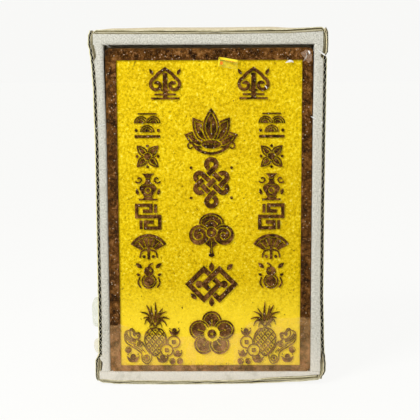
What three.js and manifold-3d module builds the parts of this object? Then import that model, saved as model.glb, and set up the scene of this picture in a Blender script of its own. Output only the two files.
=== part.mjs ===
// An ancestor tablet of polished granite, packed in a shallow tray of corrugated board.
// The stone's field is sunk, left rough and gilded, and the ornaments stand up from it polished.
// Four foam strips hold the stone in the tray, which is one sheet of board folded up on four sides.
// Millimetres. X runs across the tablet, Z up it, and its carved face looks along -Y.

import * as THREE from "three";
import { mergeVertices } from "three/addons/utils/BufferGeometryUtils.js";
import Module from "manifold-3d";

const wasm = await Module();
wasm.setup();

// The stone
const SLAB_WIDTH = 178;
const SLAB_HEIGHT = 285;
const SLAB_THICK = 20;
const SLAB_CHAMFER = 0.8;
const SLAB_CORNER = 4;
const BORDER_SIDE = 9.3;
const BORDER_TOP = 10.3;
const BORDER_BOTTOM = 5.3;
const FIELD_SUNK = 1.6;
const GILT_THICK = 0.3;

// The foam strips
const FOAM_SIDE = 7.1;
const FOAM_TOP = 7.6;
const FOAM_BOTTOM = 7.8;
const FOAM_EDGE = 0.6;
const TOP_GAP = 2.8;
const FIT_GAP = 0.1;

// The board: B flute, with two cells of the section to each flute
const BOARD_THICK = 3;
const LINER_THICK = 0.4;
const MEDIUM_THICK = 0.36;
const FLUTE_PITCH = 6.5;

// The tray: each end flap has two tabs, crushed thinner and tucked behind the side flaps
const TRAY_DEPTH = 24;
const FOAM_SET_BACK = 0.4;
const SLAB_SET_BACK = 1;
const TAB_THICK = 2.1;
const TAB_LENGTH = 20;
const FOLD_RADIUS = 3.2;
const CUT_DEPTH = 2;

// How far the front edges of the side flaps lean: out at the corners, and in against the foam between
const LEAN_IN = 1.9;
const LEAN_OUT = { left: { bottom: 0.9, top: 2 }, right: { bottom: 2, top: 0 } };
// The cells, counted up from the bottom, where a corner's lean starts and stops fading
const KINK_CELLS = { corner: [8, 84], clear: [12, 68] };

// The ornaments: one column down the middle, one down each side, two above and a group in each foot
const MIDDLE_X = 1.5;
const MIDDLE_TOP = 214;
const MIDDLE_STEP = 45;
const MIDDLE_SIZE = 44;
const SIDE_X = 53.8;
const SIDE_TOP = 218.6;
const SIDE_STEP = 26.4;
const SIDE_SIZE = 23;
const HEAD_X = 38;
const HEAD_Z = 255;
const HEAD_SIZE = 28;
const FOOT_X = 48.5;
const FOOT_Z = 27.4;

// Worked out from these
const FRONT = -TRAY_DEPTH / 2;
const BACK = TRAY_DEPTH / 2;
const PANEL_FRONT = BACK - BOARD_THICK;
const FOAM_FRONT = FRONT + FOAM_SET_BACK;
const SLAB_FRONT = FRONT + SLAB_SET_BACK;
const SLAB_BACK = SLAB_FRONT + SLAB_THICK;
const FIELD_FLOOR = SLAB_FRONT + FIELD_SUNK;
const HALF_SLAB = SLAB_WIDTH / 2;
const FOAM_OUT = HALF_SLAB + FIT_GAP + FOAM_SIDE;
const TAB_OUT = FOAM_OUT + TAB_THICK;
const WALL_IN = TAB_OUT + FIT_GAP;
const WALL_OUT = WALL_IN + BOARD_THICK;
const TAB_REACH = BOARD_THICK + TAB_LENGTH;
const SLAB_Z = BOARD_THICK + FOAM_BOTTOM;
const FOAM_TOP_Z = SLAB_Z + SLAB_HEIGHT + TOP_GAP;
const TRAY_HEIGHT = FOAM_TOP_Z + FOAM_TOP + BOARD_THICK;
const CELL = FLUTE_PITCH / 2;
const CELL_COUNT = Math.floor(TRAY_HEIGHT / CELL) - 1;
const CELL_FIRST = (TRAY_HEIGHT - (CELL_COUNT - 1) * CELL) / 2;

const FINISH = {
  granite: { color: 0x4c3420, roughness: 0.22, metalness: 0 },
  gilt: { color: 0xdcc01c, roughness: 0.6, metalness: 0 },
  foam: { color: 0xdcdcd4, roughness: 0.95, metalness: 0 },
  board: { color: 0xbfa878, roughness: 0.9, metalness: 0 },
};

const tablet = new THREE.Group();

function add(name, finish, geometry) {
  const mesh = new THREE.Mesh(geometry, new THREE.MeshStandardMaterial(FINISH[finish]));
  mesh.name = name;
  tablet.add(mesh);
}

// Solids
function solid(geometry) {
  const plain = geometry.clone();
  plain.deleteAttribute("normal");
  plain.deleteAttribute("uv");
  const merged = mergeVertices(plain, 1e-4);
  const vertProperties = merged.getAttribute("position").array;
  const triVerts = new Uint32Array(merged.index.array);
  return new wasm.Manifold(new wasm.Mesh({ numProp: 3, vertProperties, triVerts }));
}

function geometryOf(body) {
  const mesh = body.getMesh();
  const geometry = new THREE.BufferGeometry();
  geometry.setAttribute("position", new THREE.BufferAttribute(mesh.vertProperties, 3));
  geometry.setIndex(new THREE.BufferAttribute(mesh.triVerts, 1));
  return geometry.toNonIndexed();
}

// The separate bodies of a solid, the largest first
function bodiesOf(body) {
  return body.decompose().sort((a, b) => b.volume() - a.volume());
}

function outline(points) {
  return new THREE.Shape(points.map(([x, z]) => new THREE.Vector2(x, z)));
}

// One or more outlines drawn in X and Z, from their front face at y0 back to y1
function plate(shape, y0, y1) {
  const geometry = new THREE.ExtrudeGeometry(shape, {
    depth: y1 - y0,
    bevelEnabled: false,
    curveSegments: 1,
  });
  geometry.rotateX(Math.PI / 2);
  geometry.translate(0, y1, 0);
  return geometry;
}

function rectangle(x0, z0, x1, z1) {
  return [[x0, z0], [x1, z0], [x1, z1], [x0, z1]];
}

function roundRectangle(x0, z0, x1, z1, r) {
  const shape = new THREE.Shape();
  shape.moveTo(x0 + r, z0);
  shape.lineTo(x1 - r, z0);
  shape.absarc(x1 - r, z0 + r, r, -Math.PI / 2, 0);
  shape.lineTo(x1, z1 - r);
  shape.absarc(x1 - r, z1 - r, r, 0, Math.PI / 2);
  shape.lineTo(x0 + r, z1);
  shape.absarc(x0 + r, z1 - r, r, Math.PI / 2, Math.PI);
  shape.lineTo(x0, z0 + r);
  shape.absarc(x0 + r, z0 + r, r, Math.PI, Math.PI * 1.5);
  return shape;
}

// Lines and outlines of the ornaments. Angles are in degrees.
function polar(x, z, r, angle) {
  const a = (angle * Math.PI) / 180;
  return [x + r * Math.cos(a), z + r * Math.sin(a)];
}

function arc(x, z, r, from, to, steps) {
  return Array.from({ length: steps + 1 }, (_, i) => polar(x, z, r, from + ((to - from) * i) / steps));
}

function spiral(x, z, r0, r1, from, to, steps) {
  return Array.from({ length: steps + 1 }, (_, i) => {
    const t = i / steps;
    return polar(x, z, r0 + (r1 - r0) * t, from + (to - from) * t);
  });
}

function disc(x, z, r, sides = 12) {
  return arc(x, z, r, 180 / sides, 360 - 180 / sides, sides - 1);
}

function oval(x, z, rx, rz, sides) {
  return disc(0, 0, 1, sides).map(([u, v]) => [x + rx * u, z + rz * v]);
}

function turn(points, angle) {
  const [c, s] = polar(0, 0, 1, angle);
  return points.map(([u, v]) => [u * c - v * s, u * s + v * c]);
}

// A leaf from its root, widest past its middle and pointed at its end
function leaf(x, z, angle, length, width) {
  const half = [[0, 0.12], [0.4, 0.5], [0.8, 0.3]];
  const near = half.map(([t, w]) => [t * length, -w * width]);
  const far = half.map(([t, w]) => [t * length, w * width]).reverse();
  return turn([...near, [length, 0], ...far], angle).map(([u, v]) => [x + u, z + v]);
}

// Both sides of a line, right and left of its way, mitred where it bends
function edges(points, width) {
  const way = points.slice(1).map(([x, z], i) => {
    const [dx, dz] = [x - points[i][0], z - points[i][1]];
    const length = Math.hypot(dx, dz);
    return [dx / length, dz / length];
  });
  return points.map(([x, z], i) => {
    const a = way[Math.max(i - 1, 0)];
    const b = way[Math.min(i, way.length - 1)];
    const reach = width / Math.max(1 + a[0] * b[0] + a[1] * b[1], 0.3) / 2;
    const out = [(a[1] + b[1]) * reach, -(a[0] + b[0]) * reach];
    return [[x + out[0], z + out[1]], [x - out[0], z - out[1]]];
  });
}

function band(points, width) {
  const both = edges(points, width);
  return [...both.map(([right]) => right), ...both.map(([, left]) => left).reverse()];
}

// An outline moved outwards all round
function grown(points, by) {
  const closed = [points.at(-1), ...points, points[0]];
  return edges(closed, 2 * by)
    .slice(1, -1)
    .map(([right]) => right);
}

// Strokes are added to the relief or cut from it, in order. A gap keeps one clear of those below it.
const raise = (points) => [{ points, cut: false }];
const sink = (points) => [{ points, cut: true }];
const over = (points, gap) => [...sink(grown(points, gap)), ...raise(points)];

function placed(strokes, x, z, flip = false) {
  return strokes.map(({ points, cut }) => {
    const moved = points.map(([u, v]) => [x + (flip ? -u : u), z + v]);
    return { points: flip ? moved.reverse() : moved, cut };
  });
}

// A lotus in front view, its petals lapping towards the middle one
function lotus(s) {
  const strokes = [];
  for (const k of [2, 1, 0]) {
    for (const side of k ? [-1, 1] : [0]) {
      const petal = leaf(0, -0.24 * s, 90 + side * 36 * k, (0.7 - 0.07 * k) * s, 0.32 * s);
      strokes.push(...over(petal, 0.02 * s));
    }
  }
  strokes.push(...over(oval(0, -0.26 * s, 0.19 * s, 0.08 * s, 8), 0.02 * s));
  strokes.push(...raise(band(arc(0, 0.02 * s, 0.46 * s, 222, 318, 5), 0.06 * s)));
  return strokes;
}

// The endless knot, standing on its corner. Three bands each way pass over and under in turn: each one
// stops at a gap where it passes under, and its ends run on through the loops round the outside.
function knot(s) {
  const w = 0.08 * s;
  const g = w / 2 + 0.02 * s;
  const p = 0.16 * s;
  const h = 0.235 * s;
  const c = 0.25 * s;
  const bend = (side) => arc((side * p) / 2, -side * h, p / 2, side > 0 ? 0 : 180, side > 0 ? -180 : 0, 3);
  const corner = (side) => arc(side * c, side * c, c - p, side > 0 ? 180 : 0, side > 0 ? -90 : -270, 6);
  const lines = [
    [[p, -p - g], ...bend(1), [0, -g]],
    [[-p, p + g], ...bend(-1), [0, g]],
    [[-g, p], ...bend(1).map(([u, v]) => [v, u]), [-p - g, 0]],
    [[g, -p], ...bend(-1).map(([u, v]) => [v, u]), [p + g, 0]],
    [[p, p + g], ...corner(1), [g, p]],
    [[-p, -p - g], ...corner(-1), [-g, -p]],
    [[p, g - p], [p, p - g]],
    [[-p, g - p], [-p, p - g]],
    [[g - p, 0], [p - g, 0]],
  ];
  return lines.flatMap((line) => raise(band(turn(line, 45), w)));
}

// A cloud head: two scrolls under a crest, and a tail
function cloudHead(s) {
  const half = [[0.06, -0.44], [0.03, -0.28], [0.17, -0.16], [0.13, 0]].map(([x, z]) => [x * s, z * s]);
  const tail = [[0, -0.48 * s], ...half, ...half.map(([x, z]) => [-x, z]).reverse()];
  const strokes = [...raise(tail), ...over(oval(0, 0.22 * s, 0.25 * s, 0.2 * s, 12), 0.02 * s)];
  const curl = band(spiral(0.25 * s, -0.02 * s, 0.24 * s, 0.04 * s, 160, -170, 6), 0.035 * s);
  for (const side of [-1, 1]) {
    strokes.push(...over(disc(side * 0.25 * s, -0.02 * s, 0.2 * s, 12), 0.02 * s));
    strokes.push(...placed(sink(curl), 0, 0, side < 0));
  }
  strokes.push(...over(disc(0, 0.03 * s, 0.1 * s, 8), 0.02 * s));
  return strokes;
}

// Two square frames hung through each other, each with a gap where it passes under the other
function lozenges(s) {
  const w = 0.085 * s;
  const r = 0.3 * s;
  const shift = 0.15 * s;
  const gap = (w / 2 + 0.02 * s) * Math.SQRT1_2;
  const cross = [0, shift - r];
  const frame = [
    [cross[0] + gap, cross[1] - gap],
    [shift, -r],
    [shift + r, 0],
    [shift, r],
    [shift - r, 0],
    [cross[0] - gap, cross[1] + gap],
  ];
  return [1, -1].flatMap((side) => [
    ...raise(band(frame.map(([x, z]) => [side * x, side * z]), w)),
    ...raise(disc(side * 0.25 * s, 0, 0.07 * s, 8)),
  ]);
}

// A plum blossom, its five petals open round the heart
function blossom(s) {
  const petals = [0, 1, 2, 3, 4].flatMap((i) => {
    const [x, z] = polar(0, 0, 0.27 * s, 90 + 72 * i);
    return over(disc(x, z, 0.2 * s, 9), 0.018 * s);
  });
  return [...petals, ...sink(disc(0, 0, 0.15 * s, 10)), ...raise(disc(0, 0, 0.09 * s, 8))];
}

// A cloud head drawn as one line, from the eye of one scroll over the crest to the other's
function scrolls(s) {
  const half = [
    ...spiral(0.24 * s, -0.06 * s, 0.07 * s, 0.2 * s, -200, 75, 5),
    polar(0, 0.2 * s, 0.22 * s, 20),
  ];
  const line = [...half, [0, 0.42 * s], ...half.map(([x, z]) => [-x, z]).reverse()];
  return [
    ...raise(band(line, 0.1 * s)),
    ...raise(band([[0, 0.3 * s], [0, -0.46 * s]], 0.13 * s)),
    ...raise(band([[-0.2 * s, -0.34 * s], [0.2 * s, -0.34 * s]], 0.09 * s)),
  ];
}

// The smaller ornaments of the side columns
function quatrefoil(s) {
  const leaves = [45, 135, 225, 315].flatMap((angle) => raise(leaf(0, 0, angle, 0.56 * s, 0.3 * s)));
  return [...leaves, ...raise(disc(0, 0, 0.14 * s, 8))];
}

function fan(s) {
  const blade = [...arc(0, -0.3 * s, 0.76 * s, 30, 150, 5), ...arc(0, -0.3 * s, 0.3 * s, 150, 30, 2)];
  const ribs = [70, 110].flatMap((angle) =>
    sink(band([polar(0, -0.3 * s, 0.2 * s, angle), polar(0, -0.3 * s, 0.9 * s, angle)], 0.04 * s)),
  );
  return [...raise(blade), ...ribs, ...raise(band([[0, -0.48 * s], [0, 0.04 * s]], 0.1 * s))];
}

function gourd(s) {
  return [
    ...raise(disc(0, -0.2 * s, 0.28 * s, 12)),
    ...over(disc(0, 0.17 * s, 0.18 * s, 10), 0.025 * s),
    ...raise(band([[0, 0.3 * s], [0.02 * s, 0.4 * s], [0.15 * s, 0.48 * s]], 0.08 * s)),
  ];
}

function fret(s) {
  const arm = [[0.1, 0], [-0.42, 0], [-0.42, 0.42], [0.1, 0.42], [0.1, 0.2], [-0.2, 0.2]];
  return [-1, 1].flatMap((k) => raise(band(arm.map(([x, z]) => [k * x * s, k * z * s]), 0.11 * s)));
}

function vase(s) {
  const profile = [[0.16, -0.48], [0.12, -0.34], [0.28, -0.08], [0.09, 0.16], [0.09, 0.34], [0.2, 0.48]];
  const right = profile.map(([x, z]) => [x * s, z * s]);
  return raise([...right, ...right.map(([x, z]) => [-x, z]).reverse()]);
}

function wave(s) {
  const scales = [[-0.22, 0.1], [0.22, 0.1], [0, -0.22]].flatMap(([x, z]) =>
    over(arc(x * s, z * s, 0.26 * s, 0, 180, 6), 0.03 * s),
  );
  return [...scales, ...raise(band([[-0.46 * s, -0.38 * s], [0.46 * s, -0.38 * s]], 0.1 * s))];
}

// The group in each foot of the field: a pineapple with coins, ingots, pearls and a sceptre
function coin(r) {
  return [...over(disc(0, 0, r, 10), 0.5), ...sink(rectangle(-1.5, -1.5, 1.5, 1.5))];
}

function ingot(w) {
  const h = w * 0.26;
  const hull = [[-0.5 * w, h], [-0.34 * w, -h], [0.34 * w, -h], [0.5 * w, h], [0, 0]];
  return [...raise(hull), ...raise(oval(0, h * 0.6, w * 0.2, h * 0.8, 8))];
}

function pineapple() {
  const strokes = [];
  for (const [angle, length] of [[30, 17], [61, 21]]) {
    strokes.push(...over(leaf(0, 12, angle, length, 6), 0.5));
    strokes.push(...over(leaf(0, 12, 180 - angle, length, 6), 0.5));
  }
  strokes.push(...over(leaf(0, 12, 90, 23, 6), 0.5));
  strokes.push(...over(oval(0, 0, 10.4, 14, 12), 0.5));
  for (const side of [-1, 1]) {
    for (const x of [-5, 5]) {
      const groove = turn([[-18, 0], [18, 0]], side * 54).map(([u, v]) => [u + x, v]);
      strokes.push(...sink(band(groove, 0.8)));
    }
  }
  return strokes;
}

function sceptre() {
  return [
    ...raise(band([[-1, -3], [3, -8.5], [6, -14], [10, -21]], 4.4)),
    ...over(disc(-4.4, -1.6, 4.2, 8), 0.5),
    ...over(disc(3.6, 1.2, 3.9, 8), 0.5),
    ...over(disc(-1, 4, 4.2, 8), 0.5),
    ...over(disc(10.4, -22, 4.4, 8), 0.5),
  ];
}

const FOOT = [
  ...placed(sceptre(), -18.6, 8.6),
  ...placed(pineapple(), 0, 0),
  ...placed(coin(5.6), 16.6, -1.2),
  ...placed(coin(5.6), 10, -7.4),
  ...placed(ingot(10), 17, 8.4),
  ...placed(ingot(9.6), 20, -10.8),
  ...placed(ingot(11.4), 6.4, -16.6),
  ...placed(ingot(11.4), -20.2, -15.6),
  ...raise(disc(-24.2, -7.4, 2.9, 6)),
  ...raise(disc(15.4, -18.2, 2.5, 6)),
  ...raise(disc(21.6, -18.2, 2.5, 6)),
];
const MIDDLE = [lotus, knot, cloudHead, lozenges, blossom];
const SIDE = [wave, quatrefoil, vase, fret, fan, gourd];

const ornaments = MIDDLE.map((draw, i) =>
  placed(draw(MIDDLE_SIZE), MIDDLE_X, SLAB_Z + MIDDLE_TOP - i * MIDDLE_STEP),
);
for (const side of [-1, 1]) {
  SIDE.forEach((draw, i) => {
    ornaments.push(placed(draw(SIDE_SIZE), side * SIDE_X, SLAB_Z + SIDE_TOP - i * SIDE_STEP, side > 0));
  });
  ornaments.push(placed(scrolls(HEAD_SIZE), side * HEAD_X, SLAB_Z + HEAD_Z));
  ornaments.push(placed(FOOT, side * FOOT_X, SLAB_Z + FOOT_Z, side > 0));
}

// The strokes of one ornament, from y0 back to y1
function carved(strokes, y0, y1) {
  return strokes.reduce((body, { points, cut }) => {
    if (!cut) {
      const prism = solid(plate(outline(points), y0, y1));
      return body ? body.add(prism) : prism;
    }
    return body && body.subtract(solid(plate(outline(points), y0 - 1, y1 + 1)));
  }, null);
}

function stoneBlank() {
  const c = SLAB_CHAMFER;
  const x = HALF_SLAB - c;
  const edge = roundRectangle(-x, SLAB_Z + c, x, SLAB_Z + SLAB_HEIGHT - c, SLAB_CORNER - c);
  const geometry = new THREE.ExtrudeGeometry(edge, {
    depth: SLAB_THICK - 2 * c,
    bevelThickness: c,
    bevelSize: c,
    bevelSegments: 1,
    curveSegments: 4,
  });
  geometry.rotateX(Math.PI / 2);
  geometry.translate(0, SLAB_BACK - c, 0);
  return solid(geometry);
}

const FIELD = outline(
  rectangle(
    -HALF_SLAB + BORDER_SIDE,
    SLAB_Z + BORDER_BOTTOM,
    HALF_SLAB - BORDER_SIDE,
    SLAB_Z + SLAB_HEIGHT - BORDER_TOP,
  ),
);
const relief = ornaments
  .map((strokes) => carved(strokes, SLAB_FRONT, FIELD_FLOOR + 1))
  .reduce((sum, one) => sum.add(one));
const stone = stoneBlank().subtract(solid(plate(FIELD, SLAB_FRONT - 1, FIELD_FLOOR))).add(relief);
add("granite_tablet", "granite", geometryOf(stone));

// The paint: one coat over the field, and a patch wherever an ornament shuts some of it in
const coats = bodiesOf(solid(plate(FIELD, FIELD_FLOOR - GILT_THICK, FIELD_FLOOR)).subtract(stone));
add("gilt_ground", "gilt", geometryOf(coats[0]));
coats.slice(1).forEach((coat, i) => add("gilt_eye_" + (i + 1), "gilt", geometryOf(coat)));

// The foam: the side strips stand between the two that cross the tray
function foamStrip(name, x0, z0, x1, z1) {
  add(name, "foam", plate(roundRectangle(x0, z0, x1, z1, FOAM_EDGE), FOAM_FRONT, PANEL_FRONT));
}
foamStrip("foam_bottom", -FOAM_OUT, BOARD_THICK, FOAM_OUT, SLAB_Z);
foamStrip("foam_top", -FOAM_OUT, FOAM_TOP_Z, FOAM_OUT, FOAM_TOP_Z + FOAM_TOP);
foamStrip("foam_left", -FOAM_OUT, SLAB_Z, -HALF_SLAB - FIT_GAP, FOAM_TOP_Z);
foamStrip("foam_right", HALF_SLAB + FIT_GAP, SLAB_Z, FOAM_OUT, FOAM_TOP_Z);

// The height of the medium below a cell of a side flap, halfway through the board
const below = (cell) => CELL_FIRST + (cell - 0.5) * CELL;

// How far the front edge of a side flap leans out at a height
function lean(side, z) {
  const { bottom, top } = side < 0 ? LEAN_OUT.left : LEAN_OUT.right;
  const end = z < TRAY_HEIGHT / 2 ? 0 : 1;
  const out = end ? top : bottom;
  const [corner, clear] = [below(KINK_CELLS.corner[end]), below(KINK_CELLS.clear[end])];
  const t = Math.min(Math.max((z - corner) / (clear - corner), 0), 1);
  return out - (out + LEAN_IN) * t;
}

// How much of its lean a flap has at a depth: none at its fold, all at its front edge
function forward(y) {
  return (PANEL_FRONT - y) / (PANEL_FRONT - FRONT);
}

// Triangles gathered into one closed body, each given by three corners
function bodyOf(triangles) {
  const geometry = new THREE.BufferGeometry();
  geometry.setAttribute("position", new THREE.Float32BufferAttribute(triangles.flat(2), 3));
  return geometry;
}

// A flat face across a flap at depth y, with the outlines of its openings
function face(contour, openings, y, place) {
  const rings = [contour, ...openings];
  const microns = (v) => Math.round(v * 1000);
  const flat = rings.map((ring) => ring.map(([d, z]) => new THREE.Vector2(microns(d), microns(z))));
  const corners = rings.flat().map((p) => place(p, y));
  return THREE.ShapeUtils.triangulateShape(flat[0], flat.slice(1)).map((t) => t.map((k) => corners[k]));
}

// The wall along a line of an outline, from y0 back to y1
function wall(line, y0, y1, place) {
  return line.slice(1).flatMap((q, i) => {
    const p = line[i];
    const [a, b, c, d] = [place(p, y0), place(q, y0), place(q, y1), place(p, y1)];
    return [[a, b, c], [a, c, d]];
  });
}

// A side flap. The cells of its fluting are open at the cut front edge and end short of its fold. It
// is built in blocks of four cells that part along the medium, and its lean changes only there.
function sideFlap(side) {
  const near = LINER_THICK;
  const far = BOARD_THICK - LINER_THICK;
  const foot = CELL - 2 * MEDIUM_THICK;
  const top = 0.26 * foot;
  const slant = (BOARD_THICK / 2) * ((foot - top) / (far - near - MEDIUM_THICK));
  const along = ([d, z]) => z + ((2 * d) / BOARD_THICK - 1) * slant;
  const place = (p, y) => [side * (WALL_IN + p[0] + lean(side, along(p)) * forward(y)), y, p[1]];
  const cell = (i) => {
    const z = CELL_FIRST + i * CELL;
    const base = i % 2 ? near : far;
    const tip = i % 2 ? far - MEDIUM_THICK : near + MEDIUM_THICK;
    const ring = [[base, z - foot], [tip, z - top], [tip, z + top], [base, z + foot]];
    return i % 2 ? ring : ring.reverse();
  };
  const parting = (i) => {
    if (i === 0 || i >= CELL_COUNT) {
      const z = i ? TRAY_HEIGHT : 0;
      return [[0, z], [BOARD_THICK, z]];
    }
    return [[0, below(i) + slant], [BOARD_THICK, below(i) - slant]];
  };
  const cellEnd = PANEL_FRONT - LINER_THICK;
  const fronts = [];
  const backs = [];
  const walls = [];
  for (let i = 0; i < CELL_COUNT; i += 4) {
    const [inner0, outer0] = parting(i);
    const [inner1, outer1] = parting(i + 4);
    const block = [inner0, inner1, outer1, outer0];
    const cells = Array.from({ length: Math.min(4, CELL_COUNT - i) }, (_, k) => cell(i + k));
    fronts.push(...face(block, cells, FRONT, place));
    fronts.push(...cells.flatMap((ring) => face(ring, [], cellEnd, place)));
    backs.push(...face(block, [], PANEL_FRONT, place));
    walls.push(...wall([inner0, inner1], FRONT, PANEL_FRONT, place));
    walls.push(...wall([outer1, outer0], FRONT, PANEL_FRONT, place));
    walls.push(...cells.flatMap((ring) => wall([...ring, ring[0]], FRONT, cellEnd, place)));
  }
  walls.push(...wall([[BOARD_THICK, 0], [0, 0]], FRONT, PANEL_FRONT, place));
  walls.push(...wall([[0, TRAY_HEIGHT], [BOARD_THICK, TRAY_HEIGHT]], FRONT, PANEL_FRONT, place));
  const facing = (way) => (triangle) => {
    const [p, q, r] = triangle.map(([x, , z]) => [x, z]);
    const turned = (q[0] - p[0]) * (r[1] - p[1]) - (q[1] - p[1]) * (r[0] - p[0]);
    return turned * way > 0 ? triangle : [...triangle].reverse();
  };
  return bodyOf([
    ...fronts.map(facing(1)),
    ...backs.map(facing(-1)),
    ...walls.map((triangle) => (side < 0 ? [...triangle].reverse() : triangle)),
  ]);
}
add("tray_left_wall", "board", sideFlap(-1));
add("tray_right_wall", "board", sideFlap(1));

// An end flap with its tabs, between two depths into the board: a line round the tray's end
function endLine(end, d0, d1) {
  const line = (d) => {
    const r = Math.max(FOLD_RADIUS - d, 0.3);
    const x = TAB_OUT - (d * TAB_THICK) / BOARD_THICK;
    const half = [...arc(x - r, d + r, r, -90, 0, 2), [x, TAB_REACH]];
    return [...half.map(([u, v]) => [-u, v]).reverse(), ...half];
  };
  const points = [...line(d0), ...line(d1).reverse()];
  return outline(end < 0 ? points : points.map(([u, v]) => [u, TRAY_HEIGHT - v]).reverse());
}

// An end flap, its cut front edge open between the liners and the medium
function endFlap(end) {
  const near = LINER_THICK;
  const far = BOARD_THICK - LINER_THICK;
  const gap = (far - near - MEDIUM_THICK) / 2;
  const edge = end < 0 ? 0 : TRAY_HEIGHT;
  const tabLean = (side, z) => lean(side, edge) * Math.max(1 - Math.abs(edge - z) / TAB_REACH, 0);
  const layer = (d0, d1, y0, y1) => {
    const geometry = plate(endLine(end, d0, d1), y0, y1);
    const place = geometry.getAttribute("position");
    for (let i = 0; i < place.count; i++) {
      const [x, y, z] = [place.getX(i), place.getY(i), place.getZ(i)];
      const side = Math.sign(x);
      place.setX(i, x + side * tabLean(side, z) * forward(y));
    }
    return solid(geometry);
  };
  const flap = layer(0, BOARD_THICK, FRONT, PANEL_FRONT)
    .subtract(layer(near, near + gap, FRONT - 1, FRONT + CUT_DEPTH))
    .subtract(layer(far - gap, far, FRONT - 1, FRONT + CUT_DEPTH));
  return geometryOf(flap);
}
add("tray_bottom_wall", "board", endFlap(-1));
add("tray_top_wall", "board", endFlap(1));

// The panel, its four edges rounded where the sheet is folded
function backPanel() {
  const rings = arc(0, 0, BOARD_THICK, 0, 90, 4).map(([u, v]) => {
    const inset = BOARD_THICK - u;
    const corners = rectangle(-WALL_OUT + inset, inset, WALL_OUT - inset, TRAY_HEIGHT - inset);
    return corners.map(([x, z]) => [x, PANEL_FRONT + v, z]);
  });
  const sides = rings.slice(1).flatMap((ring, i) =>
    ring.flatMap((c, k) => {
      const [a, b, d] = [rings[i][k], rings[i][(k + 1) % 4], ring[(k + 1) % 4]];
      return [[a, d, b], [a, c, d]];
    }),
  );
  const [p, q, r, s] = rings[0];
  const [t, u, v, w] = rings.at(-1);
  return bodyOf([...sides, [p, q, r], [p, r, s], [t, v, u], [t, w, v]]);
}
add("tray_back_panel", "board", backPanel());

export default tablet;
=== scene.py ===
import functools
import math
import random

import bpy
import numpy as np
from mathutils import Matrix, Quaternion, Vector, noise
from mathutils.geometry import delaunay_2d_cdt


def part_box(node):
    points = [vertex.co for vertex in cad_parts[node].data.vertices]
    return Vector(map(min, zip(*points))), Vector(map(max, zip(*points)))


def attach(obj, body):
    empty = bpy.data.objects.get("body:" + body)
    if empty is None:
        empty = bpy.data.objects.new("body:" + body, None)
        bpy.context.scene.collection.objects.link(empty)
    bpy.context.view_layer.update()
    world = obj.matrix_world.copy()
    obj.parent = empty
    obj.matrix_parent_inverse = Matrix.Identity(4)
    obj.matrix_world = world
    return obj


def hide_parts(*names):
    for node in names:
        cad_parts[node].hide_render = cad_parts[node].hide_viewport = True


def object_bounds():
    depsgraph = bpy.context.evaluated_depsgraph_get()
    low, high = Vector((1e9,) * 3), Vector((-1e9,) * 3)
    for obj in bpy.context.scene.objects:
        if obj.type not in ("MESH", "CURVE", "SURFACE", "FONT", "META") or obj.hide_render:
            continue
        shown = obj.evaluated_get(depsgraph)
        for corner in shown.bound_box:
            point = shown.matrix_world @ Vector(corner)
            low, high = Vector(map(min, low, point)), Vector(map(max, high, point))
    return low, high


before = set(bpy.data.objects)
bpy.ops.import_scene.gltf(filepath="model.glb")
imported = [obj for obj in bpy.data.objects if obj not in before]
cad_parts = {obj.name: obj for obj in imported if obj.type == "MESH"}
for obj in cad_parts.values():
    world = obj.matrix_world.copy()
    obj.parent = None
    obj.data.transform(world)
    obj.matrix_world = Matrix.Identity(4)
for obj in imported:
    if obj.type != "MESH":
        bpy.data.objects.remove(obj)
cad_box = [list(corner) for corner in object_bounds()]
random.seed(7)

# Lengths are in millimetres up to the point where a mesh is made
MM = 0.001


def node_box(name):
    return [[value / MM for value in corner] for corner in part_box(name)]


# The stone
(SLAB_LEFT, SLAB_FRONT, SLAB_LOW), (SLAB_RIGHT, SLAB_BACK, SLAB_HIGH) = node_box("granite_tablet")
SLAB_CORNER = 4
ARRIS = 0.8
BORDER_SIDE = 9.3
BORDER_TOP = 10.3
BORDER_BOTTOM = 5.3
FIELD_FLOOR = SLAB_FRONT + 1.6
PAINT_THICK = 0.15
PAINT_GRAIN = 0.31
PAINT_STEP = 0.95
WALL_SLOPE = 0.13

# The board and the tray
BOARD_THICK = 3
OUTER_LINER = {-1: 0.65, 1: 0.35}
INNER_LINER = 0.15
END_LINER = 0.65
MEDIUM_THICK = 0.24
FLUTE_PITCH = 6.5
TRAY_HIGH = cad_box[1][2] / MM
TRAY_FRONT = cad_box[0][1] / MM
PANEL_FRONT = node_box("tray_back_panel")[0][1]
WALL_IN = node_box("tray_back_panel")[1][0] - BOARD_THICK
FIT_GAP = 0.1
TAB_OUT = WALL_IN - FIT_GAP
TAB_THICK = 2.1
TAB_REACH = 23
TAB_TAPER = 3.2
FOLD_RADIUS = 3.2
FLAP_ROWS = 560
FOLD_COLUMNS = 8

# How the worn tray departs from its solids. The keys are the side (-1 left, 1 right) and the end
# (-1 bottom, 1 top), and the rows of a table are a height or width and what is added there.
TAB_SWOLLEN = {(-1, -1): 2.2, (1, -1): 3.1, (-1, 1): 2.3, (1, 1): 2.9}
FOAM_SWELL = {(-1, -1): 0.027, (1, -1): 0.015, (-1, 1): 0.03, (1, 1): 0.011}
LEANS = {
    -1: [(0, -0.6), (3, 0.6), (7, 1), (21, 0.9), (27, -2), (45, -2.25), (207, -2.25),
         (258, -1.5), (277, -0.6), (286, 0.2), (293, 1), (300, 2.2), (305, 1.9), (309.2, 0.4)],
    1: [(0, -2), (4, -1.6), (8, 0.3), (12, 1.4), (18, 1.5), (23, 1), (31, 0.1), (43, -0.4),
        (84, -1.4), (155, -1.5), (207, -1.3), (258, -1), (286, -0.8), (289.5, -1.4),
        (292.5, 0.1), (300, 0.3), (306, 0), (309.2, -1.4)],
}
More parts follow.
